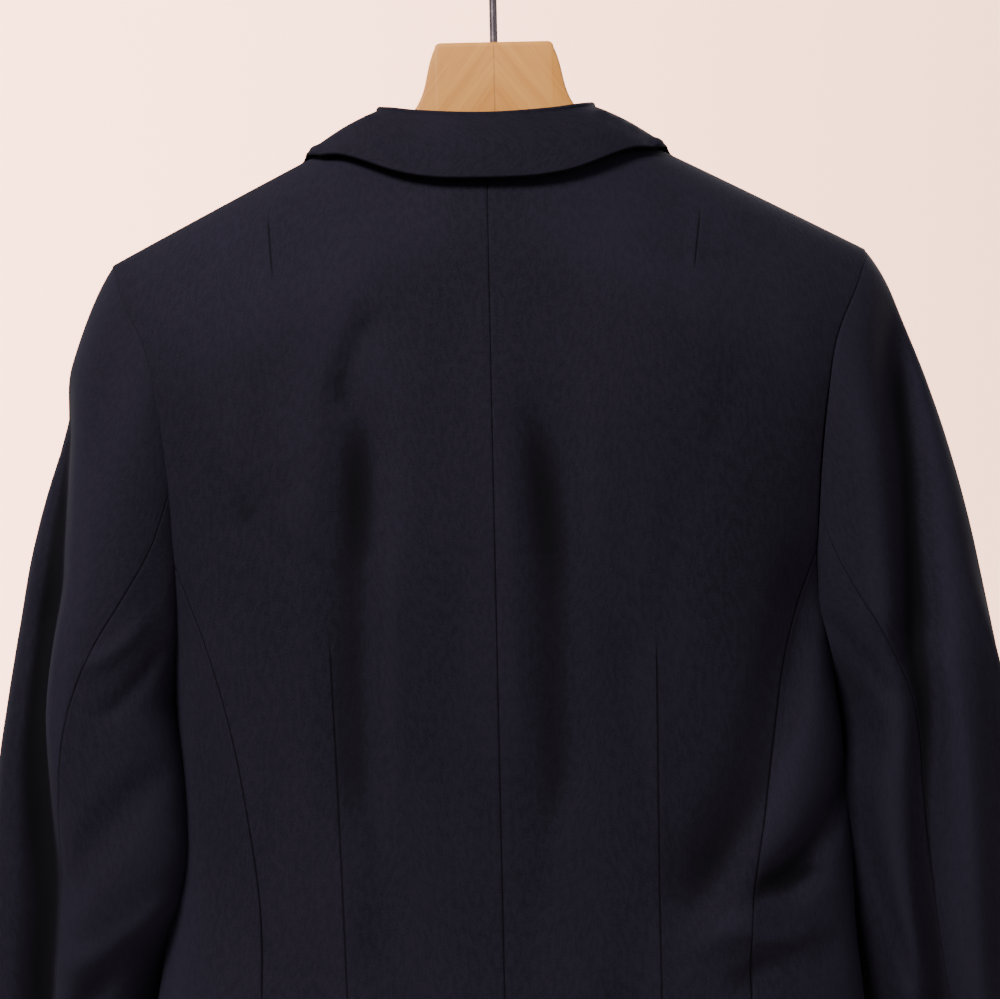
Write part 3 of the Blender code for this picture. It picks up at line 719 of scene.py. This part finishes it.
def cloth(node, side, grid, rolls, finish, sleeve_painted_shade=0):
    """A thin shell of cloth on a grid of outer points, which rides on the frame in place of its node."""
    ways = grid_ways(grid)
    outer, down, over = rolled(grid, ways, rolls)
    inner = grid - ways * CLOTH
    sunk = np.linalg.norm(outer - grid, axis=2)
    rows, columns = grid.shape[:2]
    spots = np.concatenate([outer.reshape(-1, 3), inner.reshape(-1, 3)])
    spots = spots * np.array([side, 1, 1]) + np.array([HANG_SHIFT, 0, 0])
    under = rows * columns
    number = np.arange(under).reshape(rows, columns)
    corner = number[:-1, :-1].reshape(-1)
    face = np.stack([corner, corner + 1, corner + columns + 1, corner + columns], axis=1)
    edge = np.concatenate([number[0], number[1:, -1], number[-1, -2::-1], number[-2:0:-1, 0]])
    after = np.roll(edge, -1)
    rim = np.stack([after, edge, edge + under, after + under], axis=1)
    faces = np.concatenate([face, face[:, ::-1] + under, rim])
    if side < 0:
        faces = faces[:, ::-1]
    mesh = bpy.data.meshes.new("blazer_" + node)
    mesh.from_pydata(spots.tolist(), [], faces.tolist())
    spread = np.stack([over.reshape(-1), down.reshape(-1)], axis=1)
    spread = np.concatenate([spread, spread + 0.4])
    layer = mesh.uv_layers.new(name="weave")
    layer.data.foreach_set("uv", spread[faces.reshape(-1)].astype(np.float32).reshape(-1))
    # Painted shade: how far the wool's colour is darkened, from the folds' hollows, the sleeves' painted shade and the
    # seams' turned-in edges
    fold_painted_shade_values = hollows(grid, ways) + sleeve_painted_shade + SEAM_PAINTED_SHADE * sunk
    shade = mesh.attributes.new("fold_painted_shade", "FLOAT", "POINT")
    shade.data.foreach_set("value", np.tile(fold_painted_shade_values.reshape(-1), 2).astype(np.float32))
    mesh.shade_smooth()
    piece = bpy.data.objects.new("blazer_" + node, mesh)
    bpy.context.scene.collection.objects.link(piece)
    mesh.materials.append(finish)
    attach(piece, "root")
    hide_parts(node)


# Shading

class Value:
    """A socket that can be used in sums, so that shader maths reads as an expression."""

    def __init__(self, tree, socket):
        self.tree, self.socket = tree, socket

    def _do(self, operation, *others):
        node = self.tree.nodes.new("ShaderNodeMath")
        node.operation = operation
        for slot, value in zip(node.inputs, (self,) + others):
            if isinstance(value, Value):
                self.tree.links.new(value.socket, slot)
            else:
                slot.default_value = value
        return Value(self.tree, node.outputs[0])

    def __add__(self, other):
        return self._do("ADD", other)

    def __sub__(self, other):
        return self._do("SUBTRACT", other)

    def __mul__(self, other):
        return self._do("MULTIPLY", other)

    def __rsub__(self, other):
        return (self * -1.0) + other

    __radd__, __rmul__ = __add__, __mul__

    def size(self):
        return self._do("ABSOLUTE")

    def sine(self):
        return self._do("SINE")

    def within(self, low, high):
        """0 below low, 1 above high, and a soft step between."""
        node = self.tree.nodes.new("ShaderNodeMapRange")
        node.interpolation_type = "SMOOTHSTEP"
        self.tree.links.new(self.socket, node.inputs["Value"])
        node.inputs["From Min"].default_value, node.inputs["From Max"].default_value = low, high
        return Value(self.tree, node.outputs["Result"])


class Finish:
    """A material's nodes."""

    def __init__(self, name):
        self.material = bpy.data.materials.new(name)
        self.material.use_nodes = True
        self.tree = self.material.node_tree
        self.shader = self.tree.nodes["Principled BSDF"]

    def node(self, kind, settings=(), out=0, **sockets):
        """A node of a type, with its settings and the values or links of its sockets."""
        made = self.tree.nodes.new("ShaderNode" + kind)
        for name, value in dict(settings).items():
            setattr(made, name, value)
        for name, value in sockets.items():
            slot = made.inputs[int(name[1:])] if name[1:].isdigit() else made.inputs[name.replace("_", " ")]
            self.feed(slot, value)
        return Value(self.tree, made.outputs[out])

    def feed(self, slot, value):
        if isinstance(value, Value):
            self.tree.links.new(value.socket, slot)
        else:
            slot.default_value = value

    def place(self, turn=(0, 0, 0), stretch=(1, 1, 1), source="Object"):
        """Coordinates on the piece, turned and stretched."""
        where = self.node("TexCoord", out=source)
        return self.node("Mapping", Vector=where, Rotation=turn, Scale=stretch)

    def noise(self, where, scale, detail=2.0, roughness=0.5):
        return self.node("TexNoise", out="Fac", Vector=where, Scale=scale, Detail=detail, Roughness=roughness)

    def axes(self, where):
        """The three parts of a vector."""
        node = self.tree.nodes.new("ShaderNodeSeparateXYZ")
        self.feed(node.inputs[0], where)
        return [Value(self.tree, slot) for slot in node.outputs]

    def mix(self, factor, first, second):
        """From the first colour to the second."""
        return self.node("Mix", {"data_type": "RGBA"}, out=2, _0=factor, _6=first, _7=second)

    def scaled(self, where, scale):
        """A vector with each of its parts multiplied."""
        return self.node("VectorMath", {"operation": "MULTIPLY"}, _0=where, _1=scale)

    def bump(self, height, strength):
        return self.node("Bump", Height=height, Distance=1.0, Strength=strength)

    def set(self, **sockets):
        for name, value in sockets.items():
            self.feed(self.shader.inputs[name.replace("_", " ")], value)


NAVY_DEEP = (0.0042, 0.0033, 0.0068, 1)
NAVY_PALE = (0.0150, 0.0124, 0.0232, 1)
# Painted shade, mixed into the wool's colour in folds, along seams and in dart grooves
NAVY_PAINTED_SHADE = (0.0012, 0.0010, 0.0018, 1)
# Painted highlight, mixed into the wool's colour on ridges
NAVY_PAINTED_HIGHLIGHT = (0.0210, 0.0185, 0.0350, 1)
LINT = (0.10, 0.10, 0.11, 1)
HONEY_DEEP, HONEY_PALE = (0.58, 0.215, 0.030, 1), (0.74, 0.33, 0.066, 1)
HONEY_PORE, HONEY_JOINT = (0.36, 0.16, 0.035, 1), (0.26, 0.115, 0.030, 1)
STEEL_DEEP, STEEL_PALE = (0.15, 0.12, 0.135, 1), (0.21, 0.17, 0.185, 1)
HORN_DEEP, HORN_PALE = (0.010, 0.010, 0.015, 1), (0.045, 0.042, 0.052, 1)
THREAD_DEEP, THREAD_PALE = (0.006, 0.006, 0.012, 1), (0.020, 0.020, 0.034, 1)
FLOOR_COLOUR = (0.80, 0.76, 0.73, 1)


def wool(name, darts=()):
    """Fine navy wool with a soft nap over its twill and the darts sewn into that piece, its colour painted darker in
    folds, seams and dart grooves as shade and paler on ridges as a highlight.
    """
    made = Finish(name)
    weave = made.place(source="UV")
    u, v, _ = made.axes(weave)
    wobble = made.noise(weave, 260.0, 2.0)
    line = (u * 0.86 + v * 0.51) * (2 * math.pi / 0.00085) + wobble * 9.0
    twill = line.sine() * 0.5 + 0.5
    nap = made.noise(weave, 1500.0, 3.0, 0.65)
    tuft = made.noise(made.place(source="UV", stretch=(1, 0.45, 1)), 420.0, 3.0, 0.6)
    cloud = made.noise(made.place(stretch=(1, 1, 0.35)), 22.0, 3.0, 0.5)
    shade = twill * 0.05 + nap.within(0.38, 0.62) * 0.46
    shade = shade + tuft.within(0.38, 0.62) * 0.24 + cloud.within(0.3, 0.7) * 0.20
    colour = made.mix(shade, NAVY_DEEP, NAVY_PALE)
    # Painted shade in the folds' hollows and along the seams
    fold_painted_shade = made.node("Attribute", {"attribute_name": "fold_painted_shade"}, out="Fac")
    colour = made.mix(fold_painted_shade.within(-0.0002, FULL_PAINTED_SHADE_DEPTH) * 0.88, colour, NAVY_PAINTED_SHADE)
    # Painted highlight on the ridges, where the surface stands above its surroundings
    colour = made.mix((fold_painted_shade * -1.0).within(0.0006, FULL_PAINTED_SHADE_DEPTH) * 0.25, colour, NAVY_PAINTED_HIGHLIGHT)
    height = twill * 0.00001 + nap * 0.00012 + tuft * 0.00012
    x, y, z = made.axes(made.place())
    for start_x, start_z, end_x, end_z in darts:
        slope = (end_x - start_x) / (end_z - start_z)
        aside = (x - (z - start_z) * slope - start_x).size()
        begun = (z * -1.0).within(-start_z - 0.004, -start_z + 0.010)
        ends = begun * (1.0 - (z * -1.0).within(-end_z - 0.012, -end_z))
        behind = y.within(0.0, 0.01)
        groove = (1.0 - aside.within(0.0, 0.0009)) * ends * behind
        swell = (1.0 - aside.within(0.0008, 0.0075)) * ends * behind
        height = height - groove * 0.0004 + swell * 0.0005
        # Painted shade along the dart's groove
        colour = made.mix(groove * 0.8, colour, NAVY_PAINTED_SHADE)
    speck = made.node("TexVoronoi", {"feature": "F1"}, out="Distance", Vector=made.place(source="UV"), Scale=17.0)
    fleck = 1.0 - speck.within(0.006, 0.013)
    thread = made.noise(weave, 60.0).within(0.50, 0.56)
    colour = made.mix(fleck * thread * 0.55, colour, LINT)
    made.set(Base_Color=colour, Roughness=0.92 - nap * 0.12, Normal=made.bump(height, 0.85))
    made.set(Specular_IOR_Level=0.10, Sheen_Weight=0.02, Sheen_Roughness=0.45, Sheen_Tint=(0.66, 0.58, 0.95, 1))
    return made.material


def honey_wood():
    """Pale lacquered wood: rings cut at a slant, each half the mirror of the other at the middle joint."""
    made = Finish("honey_wood")
    x, y, z = made.axes(made.place())
    across = x.size()
    grain = made.node("CombineXYZ", _0=across * 0.80 + z * 0.60, _1=y * 1.4, _2=z * 0.80 - across * 0.60)
    bend = made.noise(grain, 14.0, 2.0)
    rings = made.noise(made.scaled(grain, (150.0, 40.0, 7.0)), 1.0, 4.0, 0.62)
    streak = made.noise(made.scaled(grain, (900.0, 500.0, 26.0)), 1.0, 3.0, 0.7)
    tone = rings * 0.62 + bend * 0.30 + streak * 0.28
    ramp = made.mix(tone.within(0.40, 0.86), HONEY_DEEP, HONEY_PALE)
    pores = streak.within(0.62, 0.78)
    colour = made.mix(pores * 0.30, ramp, HONEY_PORE)
    joint = (1.0 - across.within(0.0001, 0.0007)) * y.size().within(0.0, 0.001)
    colour = made.mix(joint * 0.35, colour, HONEY_JOINT)
    height = streak * 0.00012 + rings * 0.00008 - joint * 0.0001
    made.set(Base_Color=colour, Roughness=0.50 + streak * 0.16, Normal=made.bump(height, 0.8))
    made.set(Coat_Weight=0.12, Coat_Roughness=0.35, Specular_IOR_Level=0.4)
    return made.material


def plated_steel():
    """Dull plated wire with drawn lines along it and faint spots."""
    made = Finish("plated_steel")
    lines = made.noise(made.place(stretch=(1, 1, 0.05)), 1800.0, 2.0)
    spots = made.noise(made.place(), 260.0, 3.0, 0.6)
    colour = made.mix(spots.within(0.45, 0.75), STEEL_DEEP, STEEL_PALE)
    bump = made.bump(lines * 0.00004 + spots * 0.00002, 0.6)
    made.set(Base_Color=colour, Metallic=1.0, Roughness=0.30 + spots * 0.22, Normal=bump)
    return made.material


def horn():
    """Dark polished horn with faint paler streaks."""
    made = Finish("dark_horn")
    streak = made.noise(made.place(turn=(0, 0.5, 0), stretch=(1, 1, 0.25)), 240.0, 4.0, 0.6)
    colour = made.mix(streak.within(0.45, 0.75), HORN_DEEP, HORN_PALE)
    made.set(Base_Color=colour, Roughness=0.22 + streak * 0.2, Normal=made.bump(streak * 0.00005, 0.5))
    return made.material


def floor_paper():
    """The studio's floor."""
    made = Finish("floor_paper")
    paler = tuple(c * 1.03 for c in FLOOR_COLOUR[:3]) + (1,)
    made.set(Base_Color=made.mix(made.noise(made.place(), 3.0, 3.0), FLOOR_COLOUR, paler), Roughness=0.9)
    return made.material


def dress():
    """All the blazer's cloth, over the part's plain panels."""
    sewn = (SEAM_ROLL, EDGE_ROLL, SEAM_ROLL, SEAM_ROLL)
    for side, word in SIDES.items():
        darts = [(x + HANG_SHIFT, z, end_x + HANG_SHIFT, end_z) for x, z, end_x, end_z in DARTS[side]]
        darted, plain = wool("navy_wool_back_" + word, darts), wool("navy_wool_" + word)
        cloth("back_" + word, side, panel_grid(side, 1), sewn, darted)
        cloth("side_" + word, side, side_grid(side), sewn, plain)
        cloth("front_" + word, side, panel_grid(side, -1)[:, ::-1],
              (SEAM_ROLL, EDGE_ROLL, SEAM_ROLL, EDGE_ROLL), plain)
        cloth("lapel_" + word, side, lapel_grid(side)[::-1, ::-1], (EDGE_ROLL,) * 4, plain)
        for part in ("sleeve_top", "sleeve_under"):
            grid, shade = sleeve_grid(side, part == "sleeve_top")
            cloth(part + "_" + word, side, grid, sewn, plain, shade)
    cloth("collar", 1, collar_grid(), (0,) + (EDGE_ROLL,) * 3, wool("navy_wool_collar"))


# The studio: each lamp's place, size and power, what they aim at, and the pale surround from its one side to the
# other, painted darker on the one side as shade
LAMPS = {
    "window": ((1.05, 1.6, 1.3), 0.9, 97),
    "fill": ((-1.8, 1.3, 0.3), 1.6, 8),
    "front": ((-1.3, -2.0, 0.7), 1.2, 36),
    "front_fill": ((1.6, -1.6, 0.2), 1.6, 14),
}
LAMP_TINT = (1.0, 0.97, 0.95)
LAMP_AIM = Vector((0, 0, -0.35))
FLOOR_DROP = 1.35
AIR_TINT, AIR_POWER = (1.0, 0.95, 0.95, 1), 0.25
SURROUND_SHADED_AND_LIT_TINTS, SURROUND_POWER = ((0.60, 0.335, 0.24, 1), (1.0, 0.53, 0.37, 1)), 6.9
SURROUND_HALF = 0.22


def studio():
    """A pale floor, a pale surround painted darker towards one side as shade, and soft light from the upper left of
    the view.
    """
    bpy.ops.mesh.primitive_plane_add(size=3, location=(0, 0, -FLOOR_DROP))
    floor = bpy.context.object
    floor.name = "studio_floor"
    floor.data.materials.append(floor_paper())
    world = bpy.data.worlds.new("studio_air")
    bpy.context.scene.world = world
    world.use_nodes = True
    nodes, links = world.node_tree.nodes, world.node_tree.links
    shown, soft = nodes["Background"], nodes.new("ShaderNodeBackground")
    soft.inputs["Color"].default_value, soft.inputs["Strength"].default_value = AIR_TINT, AIR_POWER
    shown.inputs["Strength"].default_value = SURROUND_POWER
    way, parts, along = (nodes.new("ShaderNode" + kind) for kind in ("TexCoord", "SeparateXYZ", "MapRange"))
    tint = nodes.new("ShaderNodeMix")
    tint.data_type = "RGBA"
    # The surround as the view sees it: painted paler on one side and darker on the other, as shade
    along.inputs["From Min"].default_value, along.inputs["From Max"].default_value = -SURROUND_HALF, SURROUND_HALF
    tint.inputs[6].default_value, tint.inputs[7].default_value = SURROUND_SHADED_AND_LIT_TINTS
    links.new(way.outputs["Generated"], parts.inputs[0])
    links.new(parts.outputs["X"], along.inputs["Value"])
    links.new(along.outputs["Result"], tint.inputs[0])
    links.new(tint.outputs[2], shown.inputs["Color"])
    path, mix = nodes.new("ShaderNodeLightPath"), nodes.new("ShaderNodeMixShader")
    links.new(path.outputs["Is Camera Ray"], mix.inputs[0])
    links.new(soft.outputs[0], mix.inputs[1])
    links.new(shown.outputs[0], mix.inputs[2])
    links.new(mix.outputs[0], nodes["World Output"].inputs["Surface"])
    for name, (place, size, power) in LAMPS.items():
        light = bpy.data.lights.new(name, "AREA")
        light.size, light.energy, light.color = size, power, LAMP_TINT
        lamp = bpy.data.objects.new(name, light)
        bpy.context.scene.collection.objects.link(lamp)
        lamp.location = place
        lamp.rotation_euler = (LAMP_AIM - Vector(place)).to_track_quat("-Z", "Y").to_euler()


VIEW_X, VIEW_Y, VIEW_DROP = -0.0030, 1.2, 0.3167
VIEW_ROLL = math.radians(1.25)
PIXEL = 0.00053
PHOTO_WIDTH = 1000
SENSOR = 36


def camera():
    """The photograph's view, straight at the back and turned a little."""
    data = bpy.data.cameras.new("view")
    data.sensor_width = SENSOR
    data.lens = SENSOR * VIEW_Y / PIXEL / PHOTO_WIDTH
    view = bpy.data.objects.new("view", data)
    bpy.context.scene.collection.objects.link(view)
    facing = Matrix.Rotation(math.pi, 4, "Z") @ Matrix.Rotation(math.pi / 2, 4, "X")
    facing = facing @ Matrix.Rotation(-VIEW_ROLL, 4, "Z")
    view.location = (VIEW_X + HANG_SHIFT, VIEW_Y, -VIEW_DROP)
    view.rotation_euler = facing.to_euler()
    bpy.context.scene.camera = view


# The hanger and the button, modelled as by hand

NECK_TOP_HALF = 0.0315
NECK_TOP_DROP = 0.075
HANGER_THICKNESS = 0.012
HANGER_GAP = 0.0060
HANGER_TIP = 0.1915
HANGER_EDGE = 0.0022
HANGER_CORNER = 0.003
# Where the neck's slope meets the arm, how the slope starts and ends, and the arm's height there and at its tip
ARM_START = 0.090
NECK_WAY, ARM_WAY = np.array([0.030, 0.064]), np.array([0.190, 0.075])
ARM_HEIGHT, ARM_SWELL, ARM_TAPER = 0.014, 0.026, 0.16
TIP_ROUND, TIP_RISE, TIP_FALL = 0.008, 0.004, 0.009
TIP_LIFT = 0.006
HOOK_LEAN_DROP = 0.0520
HOOK_TURN = math.radians(195)
QUARTER = (math.pi / 2, 0, 0)
# The button's face steps inwards and down; its four holes, and the strands through them
BUTTON_STEPS = ((0.0018, 0.0008), (0.0012, 0.0003))
HOLE_PLACES = (-0.0016, 0.0016)
HOLE_RADIUS = 0.00085
STRAND_PLACES = (-0.00034, 0, 0.00034)
STRAND_RADIUS = 0.00030
# How far the buttonhole's two ends reach from the centre front
BUTTONHOLE_ENDS = (0.0030, -0.0190)


def hold(piece):
    """Selects one piece alone."""
    bpy.ops.object.select_all(action="DESELECT")
    piece.select_set(True)
    bpy.context.view_layer.objects.active = piece


def settle():
    """Moves the active piece's place and turn into its mesh."""
    bpy.ops.object.transform_apply(location=True, rotation=True, scale=True)


def rod(sides, radius, length, turn, place):
    """A round bar, turned from upright."""
    bpy.ops.mesh.primitive_cylinder_add(vertices=sides, radius=radius, depth=length, rotation=turn, location=place)
    return bpy.context.object


def edit(piece):
    """Opens one piece in edit mode with nothing selected."""
    hold(piece)
    bpy.ops.object.mode_set(mode="EDIT")
    bpy.ops.mesh.select_all(action="DESELECT")


def pick(piece, faces=None, edges=None):
    """Selects only the faces or the edges that a test on them passes."""
    bpy.ops.mesh.select_all(action="DESELECT")
    bpy.ops.mesh.select_mode(type="FACE" if faces else "EDGE")
    bpy.ops.object.mode_set(mode="OBJECT")
    mesh = piece.data
    if faces:
        for face in mesh.polygons:
            face.select = faces(face)
    else:
        for edge in mesh.edges:
            edge.select = edges(*(mesh.vertices[i].co for i in edge.vertices))
    bpy.ops.object.mode_set(mode="EDIT")


def done(piece, name, finish, nodes, angle):
    """Closes the edit, settles the piece and hangs it in the frame."""
    if bpy.context.mode != "OBJECT":
        bpy.ops.object.mode_set(mode="OBJECT")
    hold(piece)
    settle()
    bpy.ops.object.mode_set(mode="EDIT")
    bpy.ops.mesh.select_all(action="SELECT")
    bpy.ops.mesh.remove_doubles(threshold=1e-6)
    bpy.ops.mesh.normals_make_consistent(inside=False)
    bpy.ops.object.mode_set(mode="OBJECT")
    bpy.ops.object.shade_smooth_by_angle(angle=math.radians(angle))
    piece.name = piece.data.name = name
    piece.data.materials.clear()
    piece.data.materials.append(finish)
    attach(piece, "root")
    if nodes:
        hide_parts(*nodes)


def hanger_outline():
    """The wood's top and bottom edges on the wearer's left, from the centre out, as (x, top drop, low drop)."""
    flat = NECK_TOP_HALF - HANGER_CORNER
    top = [(0, NECK_TOP_DROP), (NECK_TOP_HALF * 0.5, NECK_TOP_DROP), (flat, NECK_TOP_DROP)]
    for angle in np.radians([30, 60]):
        drop = NECK_TOP_DROP + HANGER_CORNER * (1 - math.cos(angle))
        top.append((flat + HANGER_CORNER * math.sin(angle), drop))
    start = np.array([NECK_TOP_HALF, NECK_TOP_DROP + HANGER_CORNER])
    end = np.array([ARM_START, ridge(ARM_START) + HANGER_GAP])
    top += [tuple(hermite(start, NECK_WAY, end, ARM_WAY, t)) for t in np.linspace(0, 1, 20)]
    level = HANGER_TIP - TIP_ROUND
    top += [(x, ridge(x) + HANGER_GAP) for x in np.linspace(ARM_START, level, 14)[1:]]
    for angle in np.radians([30, 60, 90]):
        drop = ridge(HANGER_TIP) + HANGER_GAP - TIP_RISE + TIP_FALL * (1 - math.cos(angle))
        top.append((level + TIP_ROUND * math.sin(angle), drop))
    outline = []
    for x, drop in top:
        low = ridge(x) + HANGER_GAP + ARM_HEIGHT + ARM_SWELL * ease((HANGER_TIP - x) / ARM_TAPER)
        outline.append((x, drop, low - TIP_LIFT * ease((x - HANGER_TIP + TIP_LIFT) / TIP_LIFT)))
    return outline


def make_hanger():
    """The wood, pulled out station by station from one arm's end to the other, and its long edges eased."""
    half = hanger_outline()
    stations = [(-x, top, low) for x, top, low in half[:0:-1]] + half
    x, top, low = stations[0]
    middle, tall = (top + low) / 2, low - top
    bpy.ops.mesh.primitive_plane_add(size=1, rotation=(0, math.pi / 2, 0), location=(x, 0, -middle))
    wood = bpy.context.object
    edit(wood)
    bpy.ops.mesh.select_all(action="SELECT")
    bpy.ops.transform.resize(value=(1, HANGER_THICKNESS, tall), center_override=(x, 0, -middle))
    for next_x, top, low in stations[1:]:
        shift = (next_x - x, 0, middle - (top + low) / 2)
        bpy.ops.mesh.extrude_region_move(TRANSFORM_OT_translate={"value": shift})
        centre = (next_x, 0, -(top + low) / 2)
        bpy.ops.transform.resize(value=(1, 1, (low - top) / tall), center_override=centre)
        x, middle, tall = next_x, (top + low) / 2, low - top
    bpy.ops.object.mode_set(mode="OBJECT")
    settle()
    edit(wood)
    pick(wood, edges=lambda a, b: abs(a.x - b.x) > 1e-5 and a.y * b.y > 0)
    bpy.ops.mesh.bevel(offset=HANGER_EDGE, segments=4, affect="EDGES")
    done(wood, "blazer_hanger", honey_wood(), ["hanger"], 40)


def make_hook():
    """The wire: straight up out of the wood, a bend to one side and the long bend over the rail."""
    drop = HOOK_RADIUS - WIRE_RADIUS
    lean = ((HOOK_LEAN_DROP - drop) ** 2 - HOOK_RADIUS ** 2) / (2 * HOOK_RADIUS)
    turn = math.atan2(lean, HOOK_LEAN_DROP - drop)
    foot = (0, 0, -NECK_TOP_DROP)
    bpy.ops.mesh.primitive_circle_add(vertices=20, radius=WIRE_RADIUS, fill_type="NGON", location=foot)
    wire = bpy.context.object
    settle()
    edit(wire)
    bpy.ops.mesh.select_all(action="SELECT")
    bpy.ops.mesh.extrude_region_move(TRANSFORM_OT_translate={"value": (0, 0, NECK_TOP_DROP - HOOK_LEAN_DROP)})
    bend = math.pi / 2 - turn
    bpy.ops.mesh.spin(steps=14, angle=bend, center=(lean, 0, -HOOK_LEAN_DROP), axis=(0, -1, 0))
    bpy.ops.mesh.spin(steps=48, angle=HOOK_TURN + bend, center=(0, 0, -drop), axis=(0, 1, 0))
    bpy.ops.mesh.bevel(offset=0.0008, segments=3, affect="EDGES")
    done(wire, "blazer_hook", plated_steel(), ["hanger_hook"], 40)


def make_button():
    """A turned four-hole button."""
    low, high = (Vector(corner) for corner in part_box("button"))
    middle = (low + high) / 2
    button = rod(48, BUTTON_RADIUS, high.y - low.y, QUARTER, middle)
    settle()
    edit(button)
    pick(button, faces=lambda face: face.normal.y < -0.9)
    for inwards, sunk in BUTTON_STEPS:
        bpy.ops.mesh.inset(thickness=inwards)
        bpy.ops.transform.translate(value=(0, sunk, 0))

    def reach(spot):
        return (spot - middle).xz.length

    pick(button, edges=lambda a, b: reach(a) > BUTTON_RADIUS * 0.8 and abs(a.y - b.y) < 1e-6 and
         abs(reach(a) - reach(b)) < 1e-5)
    bpy.ops.mesh.bevel(offset=0.0006, segments=3, affect="EDGES")
    bpy.ops.object.mode_set(mode="OBJECT")
    for x in HOLE_PLACES:
        for z in HOLE_PLACES:
            drill = rod(16, HOLE_RADIUS, 0.02, QUARTER, (middle.x + x, middle.y, middle.z + z))
            cut = button.modifiers.new("hole", "BOOLEAN")
            cut.object, cut.operation, cut.solver = drill, "DIFFERENCE", "EXACT"
            bpy.context.view_layer.objects.active = button
            bpy.ops.object.modifier_apply(modifier=cut.name)
            bpy.data.objects.remove(drill)
    done(button, "blazer_button", horn(), ["button"], 30)


def sew_button():
    """The button's thread: strands from hole to hole, and the shank behind it."""
    low, high = (Vector(corner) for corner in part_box("button"))
    middle = (low + high) / 2
    strands = []
    for z in HOLE_PLACES:
        for lift in STRAND_PLACES:
            place = (middle.x, low.y + 0.00095, middle.z + z + lift)
            strand = rod(12, STRAND_RADIUS, 0.0042, (0, math.pi / 2, 0), place)
            edit(strand)
            pick(strand, faces=lambda face: abs(face.normal.z) > 0.9)
            bpy.ops.mesh.extrude_region_shrink_fatten(TRANSFORM_OT_shrink_fatten={"value": 0.0002})
            bpy.ops.mesh.select_all(action="SELECT")
            bpy.ops.object.mode_set(mode="OBJECT")
            strands.append(strand)
    shank = rod(20, 0.0015, 0.0030, QUARTER, (middle.x, high.y + 0.0009, middle.z))
    hold(shank)
    for strand in strands:
        strand.select_set(True)
    bpy.ops.object.join()
    done(shank, "blazer_button_thread", thread(), (), 40)


def make_buttonhole():
    """The worked buttonhole: a ring of thread, drawn out to a slot on the right front."""
    bpy.ops.mesh.primitive_torus_add(major_segments=40, minor_segments=10, major_radius=0.0011, minor_radius=0.00055,
                                     rotation=QUARTER)
    hole = bpy.context.object
    settle()
    for spot in hole.data.vertices:
        x = spot.co.x + BUTTONHOLE_ENDS[0 if spot.co.x > 0 else 1]
        y = front_depth(np.array([-x]), np.array([BUTTON_DROP - spot.co.z]), -1)[0]
        spot.co = (x + HANG_SHIFT, y + spot.co.y, spot.co.z - BUTTON_DROP)
    done(hole, "blazer_buttonhole", thread(), (), 60)


def thread():
    """Dark sewing thread, twisted."""
    made = Finish("navy_thread")
    twist = made.noise(made.place(), 2600.0, 2.0)
    colour = made.mix(twist.within(0.35, 0.7), THREAD_DEEP, THREAD_PALE)
    made.set(Base_Color=colour, Roughness=0.7 + twist * 0.2, Normal=made.bump(twist * 0.0001, 0.7))
    return made.material


camera()
studio()
dress()
make_hanger()
make_hook()
make_button()
sew_button()
make_buttonhole()
